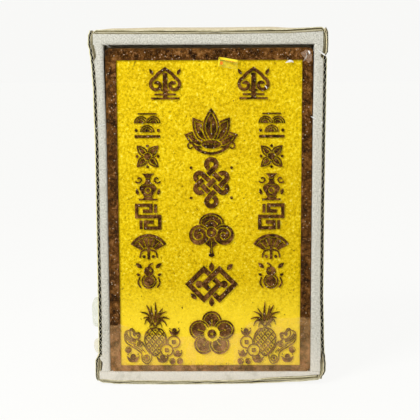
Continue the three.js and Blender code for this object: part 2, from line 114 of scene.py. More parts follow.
CRUSHED = {
    -1: [(0, 0.5), (9, 0.5), (20, 0.75), (27, 1.02), (45, 1.1), (270, 1.1), (290, 1),
         (297, 0.85), (309.2, 0.8)],
    1: [(0, 0.5), (9, 0.5), (20, 0.6), (33, 1), (286, 1), (291, 0.4), (309.2, 0.4)],
}
TOP_RISE = [(-101, 2.2), (-60, 1.9), (0, 1.6), (60, 2.2), (101, 4.1)]
TOP_BOW = [(-101, 0.4), (-80, 2.4), (-40, 3.2), (50, 3.2), (80, 1.6), (101, 0.2)]
LOW_SAG = [(-101, 2.6), (-97.5, 0.8), (-81, -0.5), (-36, -1), (0, -0.8), (36, -0.3), (54, 0.5),
           (76, 1.5), (98.5, 3.1), (102, 3.8)]
LOW_THICK = [(-101, 1.05), (-36, 1.15), (30, 1.2), (60, 1.7), (98, 1.65), (102, 1.3)]
STONE_GAP = {-1: [(215, 0), (285, 1.2), (300, 1.4)], 1: [(215, 0), (285, 0.5), (300, 0.7)]}
FOAM_SHORT = {-1: [(9, 0), (13, 1.7), (19, 1.9), (23, 0)], 1: [(287, 0), (291, 0.3), (300, 0)]}

# The ornaments, laid out as their solids are
MIDDLE_X = 1.5
MIDDLE_TOP = 214
MIDDLE_STEP = 45
MIDDLE_SIZE = 44
SIDE_X = 53.8
SIDE_TOP = 218.6
SIDE_STEP = 26.4
SIDE_SIZE = 24
HEAD_X = 38
HEAD_Z = 255
HEAD_SIZE = 29
FOOT_X = 48.5
FOOT_Z = 27.4

# The film, and the upper edge of its haze and painted warm reflection, in x and z
FILM_STANDS = 0.18
FILM_BACK = 10
FILM_FRONT = TRAY_FRONT - FILM_STANDS - 0.22
HAZE_AND_PAINTED_REFLECTION_EDGE = [(-79, 53.6), (-72, 51), (-62, 45.4), (-49, 43.5), (0, 44.4), (26, 47), (36, 55.3),
             (57, 59), (79, 60.6)]

# The stage, in metres, and the view of the photograph
STAGE_SIZE = 60
FLOOR_Z = -0.0013
STAGE_WHITE = (1, 1, 0.985)
WORLD_LEVEL = 0.45
WORLD_SEEN = 0.49
KEY_WATTS = 14.4
KEY_SIZE = 0.45
KEY_PLACE = (-0.7, -0.9, 1)
CAMERA_DISTANCE = 0.8727
CAMERA_DOWN = math.radians(7.8)
CAMERA_SIDE = math.radians(0.5)
CAMERA_ROLL = math.radians(-0.2)
CAMERA_FILM = 36
CAMERA_FOCAL = 1000 / 420 * CAMERA_FILM
AIM = Vector((0.0003, -0.011, 0.1561))


class Nodes:
    """The nodes of a material or world. What they are given is a number, a colour or a socket."""

    def __init__(self, owner):
        owner.use_nodes = True
        self.owner = owner
        self.tree = owner.node_tree

    def give(self, node, **values):
        """Values for a node's inputs, by name or, as _0 and _1, by number"""
        for name, value in values.items():
            key = int(name[1:]) if name[0] == "_" else name.replace("_", " ")
            socket = node.inputs[key]
            if isinstance(value, bpy.types.NodeSocket):
                self.tree.links.new(value, socket)
            else:
                socket.default_value = (*value, 1) if socket.type == "RGBA" else value

    def add(self, kind, settings=(), **values):
        node = self.tree.nodes.new("ShaderNode" + kind)
        for name, value in dict(settings).items():
            setattr(node, name, value)
        self.give(node, **values)
        return node.outputs

    def math(self, how, first, second, clamp=False):
        return self.add("Math", {"operation": how, "use_clamp": clamp}, _0=first, _1=second)[0]

    def plus(self, first, second):
        return self.math("ADD", first, second)

    def minus(self, first, second):
        return self.math("SUBTRACT", first, second)

    def times(self, first, second):
        return self.math("MULTIPLY", first, second)

    def ramp(self, value, stops):
        """Colours or greys over a value"""
        node = self.tree.nodes.new("ShaderNodeValToRGB")
        elements = node.color_ramp.elements
        while len(elements) < len(stops):
            elements.new(0.5)
        for element, (at, colour) in zip(elements, stops):
            element.position = at
            element.color = (*(colour if isinstance(colour, tuple) else [colour] * 3), 1)
        self.give(node, Fac=value)
        return node.outputs["Color"]

    def blend(self, share, first, second, how="MIX"):
        kind = {"data_type": "RGBA", "blend_type": how}
        return self.add("Mix", kind, Factor=share, A=first, B=second)["Result"]

    def spread(self, value, low, high):
        """0 below low, 1 above high and a smooth step between"""
        smooth = {"interpolation_type": "SMOOTHSTEP"}
        return self.add("MapRange", smooth, Value=value, From_Min=low, From_Max=high)["Result"]

    def seen(self):
        """1 for the rays that see the background: straight, in a reflection or through the film"""
        path = self.add("LightPath")
        seen = self.math("MAXIMUM", path["Is Camera Ray"], path["Is Glossy Ray"])
        return self.math("MAXIMUM", seen, path["Is Transmission Ray"])


class Material(Nodes):
    def __init__(self, name, stretch=(1, 1, 1), **values):
        super().__init__(bpy.data.materials.new(name))
        self.shader = self.tree.nodes["Principled BSDF"]
        self.give(self.shader, **values)
        self.place = self.add("TexCoord")["Object"]
        self.x, _, self.z = self.add("SeparateXYZ", Vector=self.place)
        if stretch != (1, 1, 1):
            self.place = self.add("Mapping", Vector=self.place, Scale=stretch)[0]

    def grain(self, size, detail=6, roughness=0.6, seed=0):
        """Noise whose largest features are about size millimetres"""
        return self.add("TexNoise", {"noise_dimensions": "4D"}, Vector=self.place, W=seed,
                        Scale=1 / (size * MM), Detail=detail, Roughness=roughness)["Fac"]

    def finished(self, height=None, strength=0, deep=0, **values):
        """The material, with its last values and, if it has a height, that many mm of relief"""
        if height:
            bump = self.add("Bump", Strength=strength, Distance=deep * MM, Height=height)
            values["Normal"] = bump["Normal"]
        self.give(self.shader, **values)
        return self.owner


def granite_material():
    m = Material("granite", Specular_IOR_Level=0.05)
    patches = m.grain(7, 5, 0.7)
    colour = m.ramp(patches, [
        (0.36, (0.016, 0.006, 0.001)), (0.45, (0.055, 0.02, 0.002)),
        (0.55, (0.12, 0.045, 0.007)), (0.66, (0.26, 0.118, 0.032)),
    ])
    fine = m.grain(2, 3, 0.7, 4)
    colour = m.blend(m.ramp(fine, [(0.38, 0.9), (0.46, 0)]), colour, (0.01, 0.004, 0.001))
    colour = m.blend(m.ramp(fine, [(0.56, 0), (0.64, 0.7)]), colour, (0.36, 0.165, 0.055))
    cells = m.add("TexVoronoi", Vector=m.place, Scale=1 / (2.2 * MM))
    specks = m.ramp(cells["Distance"], [(0.14, 1), (0.22, 0)])
    chosen = m.ramp(cells["Color"], [(0.76, 0), (0.82, 1)])
    colour = m.blend(m.blend(1, specks, chosen, "MULTIPLY"), colour, (0.62, 0.48, 0.34))
    coarse = m.ramp(m.grain(9, 5, 0.72, 8), [
        (0.4, (0.03, 0.012, 0.003)), (0.49, (0.14, 0.058, 0.016)), (0.6, (0.42, 0.2, 0.085)),
    ])
    colour = m.blend(m.times(m.spread(m.z, 0.056, 0.036), 0.75), colour, coarse)
    polish = m.ramp(patches, [(0.35, 0.14), (0.7, 0.3)])
    return m.finished(m.grain(1.2, 4, 0.6, 2), 0.12, 0.1, Base_Color=colour, Roughness=polish)


def paint_material():
    m = Material("gilding", Roughness=0.5, Metallic=0.3, Specular_IOR_Level=0.06)
    grit = m.grain(2.2, 5, 0.75)
    # Painted light and shade over the paint's own tone: the grain's low parts darker and its high
    # parts paler, following the bump made from the same noise
    colour = m.ramp(grit, [
        (0.28, (0.2, 0.125, 0)), (0.39, (0.52, 0.35, 0)),
        (0.5, (0.8, 0.56, 0)), (0.61, (0.93, 0.73, 0.02)), (0.69, (1, 0.92, 0.25)),
    ])
    clouds = m.spread(m.grain(42, 2, 0.5, 3), 0.35, 0.65)
    colour = m.blend(clouds, colour, (0.92, 0.89, 0.84), "MULTIPLY")
    # Painted light: the gold is made brighter and warmer towards the bottom
    colour = m.blend(m.spread(m.z, 0.1, 0.04), colour, (1, 0.74, 0.03))
    # Painted shade: dark spots for sandblasted pits lying in shade
    pits_in_painted_shade = m.ramp(m.grain(3, 3, 0.65, 7), [(0.29, 0.85), (0.35, 0)])
    return m.finished(grit, 1, 0.8, Base_Color=m.blend(pits_in_painted_shade, colour, (0.22, 0.14, 0.001)))


def foam_material():
    m = Material("foam", Roughness=0.85)
    beads = m.grain(1.3, 3, 0.6)
    colour = m.ramp(beads, [
        (0.32, (0.36, 0.35, 0.29)), (0.5, (0.59, 0.58, 0.51)), (0.68, (0.74, 0.73, 0.65)),
    ])
    # Painted light: the foam is made lighter and warmer towards the bottom
    colour = m.blend(m.times(m.spread(m.z, 0.05, 0), 0.7), colour, (0.8, 0.75, 0.66))
    soiled = m.times(m.spread(m.grain(13, 4, 0.65, 5), 0.52, 0.7), 0.5)
    return m.finished(beads, 0.6, 0.5, Base_Color=m.blend(soiled, colour, (0.46, 0.44, 0.36)))


def board_material(name, low, high, fibre_size=1.1):
    m = Material(name, (0.35, 1, 1), Roughness=0.88)
    fibre = m.grain(fibre_size, 5, 0.65)
    colour = m.ramp(fibre, [(0.3, low), (0.7, high)])
    stains = m.times(m.spread(m.grain(22, 4, 0.65, 2), 0.48, 0.8), 0.45)
    colour = m.blend(stains, colour, tuple(0.8 * value for value in low))
    return m.finished(fibre, 0.35, 0.15, Base_Color=colour)


def film_material():
    """Clear film: it shows as creases, and low down on the stone as haze, its warm colour a painted
    reflection
    """
    # Painted reflection: the warm base colour, shown where the low alpha lets it through
    m = Material("film", Roughness=0.12, Specular_IOR_Level=0.2, Base_Color=(0.97, 0.62, 0.27))
    wide, high = 160, 100
    across = m.plus(m.times(m.x, 1 / (wide * MM)), 0.5)
    edge = m.ramp(across, [(x / wide + 0.5, z / high) for x, z in HAZE_AND_PAINTED_REFLECTION_EDGE])
    wander = m.times(m.minus(m.grain(12, 3, 0.55, 1), 0.5), 0.008)
    low = m.spread(m.minus(m.plus(m.times(edge, high * MM), wander), m.z), -0.0008, 0.0012)
    for value, at in ((m.math("ABSOLUTE", m.x, 0), 0.089), (m.times(m.z, -1), -0.0108)):
        low = m.times(low, m.spread(value, at + 0.0004, at - 0.0004))
    # The low part's alpha: haze where the film stands off the stone, carrying the painted warm
    # reflection
    clouds = m.spread(m.grain(9, 2, 0.5, 6), 0.49, 0.52)
    haze_and_painted_reflection = m.times(m.plus(m.times(clouds, 0.07), 0.095), low)
    alpha = m.math("ADD", haze_and_painted_reflection, 0.004, True)
    return m.finished(m.grain(30, 3, 0.5, 11), 0.5, 2, Alpha=alpha)


def film_mark_and_glint_material(name, colour, alpha):
    """Marks on the film: creases gone white with painted glints on them, painted sheen, and pale
    folds of film
    """
    m = Material(name, Roughness=0.2)
    dull = tuple(0.82 * value for value in colour)
    clear = m.spread(m.grain(2.2, 3, 0.6, 8), 0.3, 0.55)
    clear = m.plus(m.times(clear, 0.5 * alpha), 0.5 * alpha)
    tone = m.ramp(m.grain(3, 3, 0.6, 3), [(0.3, dull), (0.6, colour)])
    return m.finished(Alpha=clear, Base_Color=tone)


def tape_material(name, low, high, alpha):
    m = Material(name, Roughness=0.25, Alpha=alpha)
    return m.finished(Base_Color=m.ramp(m.grain(4, 3, 0.5), [(0.4, low), (0.6, high)]))


def floor_material():
    """White to the camera, with some of the shade that falls on it left in"""
    m = Material("stage", Roughness=0.9, Base_Color=(0.9, 0.895, 0.86))
    white = m.add("Emission", Color=STAGE_WHITE)[0]
    mixed = m.add("MixShader", Fac=m.times(m.seen(), 0.9), _1=m.shader.outputs["BSDF"], _2=white)
    m.give(m.tree.nodes["Material Output"], Surface=mixed[0])
    return m.owner


# Meshes
def piece(name, points, faces, material, slot, nodes=(), smooth=False):
    """A piece of the object, from points in millimetres"""
    mesh = bpy.data.meshes.new(name)
    mesh.from_pydata([[value * MM for value in point] for point in points], [], faces)
    mesh.validate()
    mesh.polygons.foreach_set("use_smooth", [smooth] * len(mesh.polygons))
    mesh.materials.append(material)
    obj = bpy.data.objects.new(name, mesh)
    bpy.context.collection.objects.link(obj)
    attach(obj, "root")
    if nodes:
        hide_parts(*nodes)
    return obj


def numbered(place, points):
    """The numbers of a function's points in a list, where each of them is put once"""
    @functools.cache
    def at(*key):
        points.append(place(*key))
        return len(points) - 1
    return at


def block(counts, place):
    """The closed sides of a block of points, place(i, j, k), and the number of each face's side"""
    points, faces, sides = [], [], []
    at = numbered(place, points)
    for side in range(6):
        axis, end = divmod(side, 2)
        u, v = (axis + 1) % 3, (axis + 2) % 3
        way = ((0, 0), (1, 0), (1, 1), (0, 1)) if end else ((0, 0), (0, 1), (1, 1), (1, 0))
        corner = [end * (counts[axis] - 1)] * 3
        for i in range(counts[u] - 1):
            for j in range(counts[v] - 1):
                face = []
                for more_u, more_v in way:
                    corner[u], corner[v] = i + more_u, j + more_v
                    face.append(at(*corner))
                faces.append(face)
                sides.append(side)
    return points, faces, sides


def read(table, at):
    """The value of a table at a place, going smoothly from each of its rows to the next"""
    if at <= table[0][0]:
        return table[0][1]
    for (a, p), (b, q) in zip(table, table[1:]):
        if at < b:
            t = (at - a) / (b - a)
            return p + (q - p) * t * t * (3 - 2 * t)
    return table[-1][1]


def rough(x, y, z, size, seed=0):
    """Smooth noise from -1 to 1 with features of about size millimetres"""
    return noise.noise(Vector((x / size + seed, y / size - seed, z / size + 2.3 * seed)))


# Lines and outlines of the ornaments. Angles are in degrees.
def polar(x, z, r, angle):
    a = math.radians(angle)
    return (x + r * math.cos(a), z + r * math.sin(a))


def spiral(x, z, r0, r1, start, stop, steps):
    return [
        polar(x, z, r0 + (r1 - r0) * i / steps, start + (stop - start) * i / steps)
        for i in range(steps + 1)
    ]


def arc(x, z, r, start, stop, steps):
    return spiral(x, z, r, r, start, stop, steps)


def oval(x, z, rx, rz, sides=32):
    return [(x + rx * u, z + rz * v) for u, v in arc(0, 0, 1, 0, 360 - 360 / sides, sides - 1)]


def disc(x, z, r, sides=28):
    return oval(x, z, r, r, sides)


def turned(points, angle):
    c, s = polar(0, 0, 1, angle)
    return [(u * c - v * s, u * s + v * c) for u, v in points]


def mirrored(points):
    """A line on the other side of the middle, run through backwards"""
    return [(-u, v) for u, v in points[::-1]]


def curve(points, steps=6):
    """A smooth line through the points"""
    ends = [points[0], *points, points[-1]]
    line = []
    for a, b, c, d in zip(ends, ends[1:], ends[2:], ends[3:]):
        for i in range(steps):
            t = i / steps
            line.append(tuple(
                0.5 * (2 * q + (r - p) * t + (2 * p - 5 * q + 4 * r - s) * t * t
                       + (3 * q - p - 3 * r + s) * t ** 3)
                for p, q, r, s in zip(a, b, c, d)
            ))
    return line + [points[-1]]


def leaf(x, z, angle, length, width):
    """A leaf from its root, widest past its middle and pointed at its end"""
    half = curve([(0, 0.1), (0.18, 0.34), (0.42, 0.5), (0.72, 0.36), (1, 0)], 4)
    side = [(t * length, w * width) for t, w in half]
    back = [(t, -w) for t, w in side[:-1]]
    return [(x + u, z + v) for u, v in turned(side[::-1] + back, angle)]


def edges(points, widths):
    """Both sides of a line, right and left of its way, mitred where it bends"""
    way = []
    for (x0, z0), (x1, z1) in zip(points, points[1:]):
        length = math.hypot(x1 - x0, z1 - z0) or 1e-9
        way.append(((x1 - x0) / length, (z1 - z0) / length))
    right, left = [], []
    for i, (x, z) in enumerate(points):
        a, b = way[max(i - 1, 0)], way[min(i, len(way) - 1)]
        reach = widths[i] / max(1 + a[0] * b[0] + a[1] * b[1], 0.5) / 2
        u, v = (a[1] + b[1]) * reach, -(a[0] + b[0]) * reach
        right.append((x + u, z + v))
        left.append((x - u, z - v))
    return right, left


def band(points, width, end=None):
    """A line of a width, or one that tapers to another width at its end"""
    n = len(points) - 1
    widths = [width + ((end or width) - width) * i / n for i in range(n + 1)]
    right, left = edges(points, widths)
    return right + left[::-1]


def bar(reach, z, width):
    """A level band that reaches as far left as right"""
    return band([(-reach, z), (reach, z)], width)


def grown(points, by):
    """An outline moved outwards all round, or inwards"""
    right, left = edges([points[-1], *points, points[0]], [2 * abs(by)] * (len(points) + 2))
    area = sum(a[0] * b[1] - b[0] * a[1] for a, b in zip(points, points[1:] + points[:1]))
    return (right if (area > 0) == (by > 0) else left)[1:-1]


# Strokes are added to the relief or cut from it, in order
def up(points):
    return [(points, True)]


def cut(points):
    return [(points, False)]


def line(points, width, end=None):
    return up(band(points, width, end))


def groove(points, width, end=None):
    return cut(band(points, width, end))


def over(points, gap):
    return cut(grown(points, gap)) + up(points)


def rimmed(points, gap, rim, width):
    """A form with a groove along inside its edge"""
    inner = grown(points, -rim)
    return over(points, gap) + cut(inner) + up(grown(inner, -width))


def placed(strokes, x, z, size=1, flip=False):
    across = -size if flip else size
    return [([(x + across * u, z + size * v) for u, v in points], raised)
            for points, raised in strokes]


def both(strokes):
    return strokes + placed(strokes, 0, 0, 1, True)


# The ornaments, each about 1 wide and high
def lotus():
    strokes = []
    for k in (2, 1, 0):
        for side in (-1, 1) if k else (0,):
            angle = 90 + side * 36 * k
            strokes += rimmed(leaf(0, -0.24, angle, 0.7 - 0.07 * k, 0.33), 0.022, 0.036, 0.022)
            vein = [polar(0, -0.24, r, angle) for r in (0.2, 0.5 - 0.06 * k)]
            strokes += groove(vein, 0.03, 0.01)
    strokes += over(oval(0, -0.26, 0.19, 0.085), 0.022)
    for i in range(5):
        strokes += cut(disc(0.06 * i - 0.12, -0.255, 0.018, 8))
    strokes += line(arc(0, 0.02, 0.46, 222, 318, 20), 0.055)
    return strokes + both(line(spiral(0.4, -0.3, 0.02, 0.09, 200, 480, 14), 0.03))


def knot():
    w, p, h, c = 0.096, 0.165, 0.245, 0.262
    g = w / 2 + 0.02
    bend = arc(p / 2, -h, p / 2, 0, -180, 12)
    corner = arc(c, c, c - p, 180, -90, 24)
    half = [
        [(p, -p - g), *bend, (0, -g)],
        [(-g, p), *((v, u) for u, v in bend), (-p - g, 0)],
        [(p, p + g), *corner, (g, p)],
        [(p, g - p), (p, p - g)],
    ]
    lines = [[(g - p, 0), (p - g, 0)], *half, *([(-u, -v) for u, v in points] for points in half)]
    strokes = [stroke for points in lines for stroke in line(turned(points, 45), w)]
    return strokes + both(up(disc(0.4, 0.3, 0.03, 12)) + up(disc(0.4, -0.3, 0.03, 12)))


def cloud_head():
    tail = curve([(0.13, 0), (0.17, -0.16), (0.03, -0.28), (0.06, -0.44)])
    strokes = up([*tail, (0, -0.48), *mirrored(tail)]) + groove([(0, -0.12), (0, -0.4)], 0.02)
    strokes += rimmed(oval(0, 0.22, 0.25, 0.2), 0.02, 0.035, 0.02)
    strokes += groove(arc(0, 0.14, 0.13, 20, 160, 14), 0.02)
    half = over(disc(0.25, -0.02, 0.2), 0.02)
    half += groove(spiral(0.25, -0.02, 0.165, 0.03, 160, -330, 34), 0.026)
    return strokes + both(half) + over(disc(0, 0.03, 0.1), 0.02) + cut(disc(0, 0.03, 0.03, 12))


def lozenges():
    w, r, shift = 0.098, 0.31, 0.155
    gap = (w / 2 + 0.02) * math.sqrt(0.5)
    low = shift - r
    half = [(gap, low - gap), (shift, -r), (shift + r, 0), (shift, r), (low, 0), (-gap, low + gap)]
    strokes = []
    for side in (1, -1):
        strokes += line([(side * x, side * z) for x, z in half], w)
        strokes += up(disc(side * 0.25, 0, 0.075, 20))
        strokes += up(leaf(side * 0.31, side * 0.3, 90 - 45 * side, 0.16, 0.09))
    for z in (0.27, -0.45):
        strokes += up(leaf(0, z, 90, 0.18, 0.11))
    return strokes


def blossom():
    strokes = []
    for i in range(5):
        strokes += rimmed(disc(*polar(0, 0, 0.27, 90 + 72 * i), 0.2), 0.018, 0.034, 0.02)
    strokes += cut(disc(0, 0, 0.16))
    for i in range(10):
        root, tip = (polar(0, 0, r, 90 + 36 * i) for r in (0.12, 0.235 if i % 2 else 0.28))
        strokes += groove([root, tip], 0.018) + cut(disc(*tip, 0.022, 10))
    return strokes + up(disc(0, 0, 0.09)) + cut(disc(0, 0, 0.03, 12))


def scrolls():
    half = [*spiral(0.25, -0.04, 0.04, 0.21, -330, 75, 30), polar(0, 0.21, 0.22, 20)]
    strokes = line([*half, (0, 0.43), *mirrored(half)], 0.1)
    strokes += line([(0, 0.31), (0, -0.46)], 0.14)
    for reach, z, width in ((0.32, -0.32, 0.055), (0.42, -0.44, 0.06), (0.13, -0.2, 0.05)):
        strokes += up(bar(reach, z, width))
    return strokes + both(up(leaf(0.36, 0.26, 60, 0.2, 0.1)))


def quatrefoil():
    strokes = []
    for angle in (45, 135, 225, 315):
        strokes += rimmed(leaf(0, 0, angle, 0.56, 0.32), 0.02, 0.05, 0.035)
    strokes += over(disc(0, 0, 0.13, 20), 0.03)
    for angle in (0, 90, 180, 270):
        strokes += up(disc(*polar(0, 0, 0.38, angle), 0.055, 12))
    return strokes


def fan():
    strokes = up(arc(0, -0.3, 0.76, 30, 150, 24) + arc(0, -0.3, 0.3, 150, 30, 10))
    strokes += groove(arc(0, -0.3, 0.64, 34, 146, 20), 0.035)
    for angle in (50, 70, 90, 110, 130):
        strokes += groove([polar(0, -0.3, r, angle) for r in (0.3, 0.6)], 0.035)
    strokes += line([(0, -0.48), (0, 0.04)], 0.1)
    cord = line(curve([(0.06, -0.12), (0.26, -0.2), (0.32, -0.42)]), 0.06)
    return strokes + both(cord + up(disc(0.17, -0.38, 0.06, 14)))


def gourd():
    strokes = rimmed(disc(0, -0.2, 0.28), 0.02, 0.055, 0.035)
    strokes += over(disc(0, 0.17, 0.18), 0.025) + cut(disc(0.05, 0.2, 0.05, 12))
    strokes += line(curve([(0, 0.3), (0.02, 0.4), (0.15, 0.48)]), 0.08, 0.04)
    half = line(curve([(0.3, -0.44), (0.4, -0.26), (0.34, -0.06)]), 0.06)
    half += up(leaf(0.26, 0.3, 40, 0.28, 0.15)) + up(leaf(0.32, 0.02, 20, 0.16, 0.1))
    return strokes + both(half)


def fret():
    arm = [(0.1, 0), (-0.42, 0), (-0.42, 0.42), (0.1, 0.42), (0.1, 0.2), (-0.2, 0.2)]
    strokes = []
    for k in (-1, 1):
        strokes += line([(k * x, k * z) for x, z in arm], 0.125)
        strokes += line([(k * 0.27, k * 0.46), (k * 0.27, k * 0.14)], 0.11)
    return strokes


def vase():
    right = curve([(0.2, -0.44), (0.15, -0.36), (0.31, -0.08), (0.24, 0.06), (0.1, 0.16),
                   (0.1, 0.34), (0.22, 0.48)], 5)
    strokes = up(right + mirrored(right))
    for z, reach in ((-0.36, 0.11), (0.06, 0.22), (0.3, 0.08)):
        strokes += cut(bar(reach, z, 0.035))
    strokes += cut(disc(0, -0.14, 0.12, 20)) + up(disc(0, -0.14, 0.075, 16))
    half = line(spiral(0.33, 0.26, 0.035, 0.14, 20, 330, 16), 0.055)
    return strokes + up(bar(0.34, -0.47, 0.06)) + both(half + up(leaf(0.36, -0.3, 75, 0.24, 0.12)))


def wave():
    strokes = []
    for x, z in ((-0.22, 0.1), (0.22, 0.1), (0, -0.22)):
        strokes += over(arc(x, z, 0.26, 0, 180, 20), 0.03)
        for r in (0.2, 0.12):
            strokes += groove(arc(x, z, r, 4, 176, 16), 0.032)
    strokes += both(up(disc(0.4, -0.16, 0.06, 12)))
    return strokes + up(bar(0.34, 0.44, 0.05)) + up(bar(0.46, -0.38, 0.1))


# The group in each foot, in millimetres, drawn in lines of about a millimetre
LINE = 0.95
LATTICE = 6
LATTICE_RISE = 3.575
PINEAPPLE = [
    (0, 12.7), (4.7, 11.7), (8.3, 7.9), (10, 2.5), (9.1, -3.4), (5.9, -8.6), (2.5, -12.1),
    (-0.8, -13.9), (-4.2, -11.7), (-7.5, -7), (-9.6, -2.1), (-10.3, 3.1), (-8.9, 7.9), (-5, 11.7),
]
CROWN = [
    ([(-2.5, 18.9), (-7.2, 24.8), (-13.3, 26.7)], 2.2),
    ([(-2, 20), (-5, 27.3), (-7.8, 32.9)], 3.2), ([(-1.7, 20), (-3.3, 27.3), (-3.9, 32.4)], 1.6),
    ([(0.8, 19.4), (3.3, 25.1), (6.5, 30.2)], 2.4), ([(1.4, 19.4), (4.7, 24.5), (9.8, 27)], 2.2),
    ([(-3.3, 17.2), (-6.9, 21.7), (-10.8, 20.9)], 2),
    ([(1.9, 18.3), (6.9, 21.6), (12.5, 20.3)], 2.2), ([(0, 17), (0.4, 27.9), (-0.2, 35.8)], 2.6),
    ([(-3, 14.6), (-5.8, 18.8), (-8, 19.6), (-9.6, 15.2)], 2.2),
    ([(1.5, 15.6), (5.3, 19.1), (8.3, 17.5), (10, 13.7)], 2.2),
    ([(0, 13.4), (2.5, 16.4), (4.7, 15.8), (5.4, 12.6)], 1.6),
    ([(-0.8, 13.4), (-2.5, 16.4), (-4.4, 15.8), (-5.3, 12.6)], 1.6),
]
RUYI = [
    (-28.1, 5.9), (-27.4, 8.2), (-26.1, 9.6), (-23.6, 10.3), (-22.5, 11.5), (-20.6, 11.8),
    (-18.9, 10.4), (-18.1, 8.4), (-16.7, 7.9), (-15, 8.3), (-13.5, 7), (-13.3, 4.8), (-14.2, 2.5),
    (-15.3, 1.1), (-12.8, 0.2), (-11.1, -1.1), (-9.7, -3.4), (-6.9, -7), (-4.2, -10.4),
    (-3.2, -13.2), (-3.9, -17.5), (-5.8, -20.3), (-8.3, -20.8), (-10.8, -19.7), (-12.5, -17.5),
    (-13.1, -14.4), (-13, -11.5), (-14.7, -9.6), (-18.1, -7.3), (-22.5, -4.5), (-25.9, -2),
    (-27.8, 1.4),
]
RUYI_LINES = [
    ([(-22.8, 8.7), (-22.2, 9.9), (-21.1, 10), (-20, 9), (-19.1, 7), (-17, 6.5), (-15.6, 7),
      (-14.5, 6.2), (-14.5, 4.5), (-15.6, 2.5), (-17.8, 2), (-20, 2.5), (-22, 4.2), (-22.8, 6.5),
      (-22.8, 8.7)], 0.75),
    ([(-27.1, 6.5), (-25.3, 3.1), (-22.2, 0.6), (-18.1, -0.6)], 0.9),
    ([(-25.9, 7.6), (-24.2, 4.2), (-21.1, 1.7), (-17.5, 0.7)], 0.8),
    ([(-26.7, 3.1), (-23.9, -0.3), (-20.3, -2.3), (-17.6, -2.9)], 0.65),
    ([(-19.7, -3.9), (-15.3, -6.5), (-12, -9.4)], 0.6),
    ([(-11.2, -2.5), (-8.6, -7), (-5.3, -11.6)], 0.65),
    ([(-12.5, -6.5), (-9.4, -10.4)], 0.55), ([(-20, 7.3), (-19.3, 5.8), (-18.3, 4.8)], 1.3),
]


def closed(points, steps=4):
    """A smooth closed outline through the points"""
    return curve([*points, *points[:3]], steps)[steps:-2 * steps]


def coin(r=5.9):
    strokes = over(disc(0, 0, r, 32), 0.5) + cut(disc(0, 0, r - LINE, 32))
    return strokes + up(bar(1.7, 0, 3.4)) + cut(bar(0.85, 0, 1.7))


def ingot(w):
    h = w * 0.24
    hull = curve([(0.5 * w, h), (0.43 * w, -0.1 * h), (0.28 * w, -h), (0, -1.15 * h)], 4)
    rim = curve([(0, 0.15 * h), (0.25 * w, 0.2 * h), (0.5 * w, h)], 4)
    body = rim + hull[1:] + mirrored(hull)[1:] + mirrored(rim)[1:-1]
    strokes = over(oval(0, h * 0.62, w * 0.23, h * 1.05, 20), 0.4) + over(body, 0.45)
    return strokes + both(up(disc(0.41 * w, h * 1.5, 0.55, 10)))


def pineapple():
    strokes = []
    for points, width in CROWN:
        strokes += over(band(curve(points), 1.25 * width, 0.4), 0.35)
    body = closed(PINEAPPLE)
    strokes += over(body, 0.5) + cut(grown(body, -LINE))
    inner = grown(body, -LINE * 0.6)

    def within(points):
        return inside(inner, np.array(points))

    for side in (-1, 1):
        u, v = polar(0, 0, 1, side * 50)
        for k in range(-4, 5):
            near = [(k * LATTICE + t / 2 * u, t / 2 * v - 0.6) for t in range(-40, 41)]
            kept = [point for point, ok in zip(near, within(near)) if ok]
            if len(kept) > 3:
                strokes += line([kept[0], kept[-1]], 0.85)
    for row in range(-4, 5):
        for k in range(-3, 4):
            x, z = (k + 0.5 * ((row + 1) % 2)) * LATTICE, row * LATTICE_RISE - 0.6
            if within([(x, z - 1.6), (x, z + 1.6), (x * 1.18, z)]).all():
                strokes += up(disc(x, z - 0.2, 0.8, 10))
    return strokes


def sceptre():
    body = closed(RUYI, 2)
    strokes = over(body, 0.35) + cut(grown(body, -0.75))
    for points, width in RUYI_LINES:
        strokes += line(curve(points, 4), width)
    for r, sides, raised in ((3.6, 28, False), (3.1, 28, True), (2.4, 28, False), (1.25, 14, True)):
        strokes.append((disc(-8.3, -15.5, r, sides), raised))
    for r, sides, raised in ((2.6, 18, True), (1.95, 16, False), (1.2, 12, True)):
        strokes.append((disc(-14.2, -2.8, r, sides), raised))
    return strokes + up(disc(-15.7, 4.7, 0.8, 12))


def pearl(r):
    strokes = over(disc(0, 0, r, 24), 0.4) + cut(disc(-0.12 * r, 0.12 * r, 0.74 * r, 20))
    return strokes + up(disc(0.12 * r, -0.14 * r, 0.66 * r, 18))


def foot():
    parts = [
        (sceptre(), 0, 0), (coin(), 16.1, -0.8), (pineapple(), 0, 0), (coin(), 9.7, -8.2),
        (ingot(9.4), 16.7, 8.2), (ingot(8.4), 19.5, -11.8), (ingot(10.8), 6.1, -16.5),
        (ingot(11), -20.3, -16), (pearl(2.9), -24.5, -7.9), (pearl(2.7), 14.7, -18.3),
        (pearl(2.8), 21.4, -18.3),
    ]
    return [stroke for part in parts for stroke in placed(*part)]


def ornaments():
    strokes = []
    for i, draw in enumerate((lotus, knot, cloud_head, lozenges, blossom)):
        z = SLAB_LOW + MIDDLE_TOP - i * MIDDLE_STEP
        strokes += placed(draw(), MIDDLE_X, z, MIDDLE_SIZE)
    for side in (-1, 1):
        for i, draw in enumerate((wave, quatrefoil, vase, fret, fan, gourd)):
            z = SLAB_LOW + SIDE_TOP - i * SIDE_STEP
            strokes += placed(draw(), side * SIDE_X, z, SIDE_SIZE, side > 0)
        strokes += placed(scrolls(), side * HEAD_X, SLAB_LOW + HEAD_Z, HEAD_SIZE)
        strokes += placed(foot(), side * FOOT_X, SLAB_LOW + FOOT_Z, 1, side > 0)
    return strokes


# The stone's face: every triangle of it is raised or sunk as the last stroke over it says
FIELD = ((SLAB_LEFT + BORDER_SIDE, SLAB_RIGHT - BORDER_SIDE),
         (SLAB_LOW + BORDER_BOTTOM, SLAB_HIGH - BORDER_TOP))
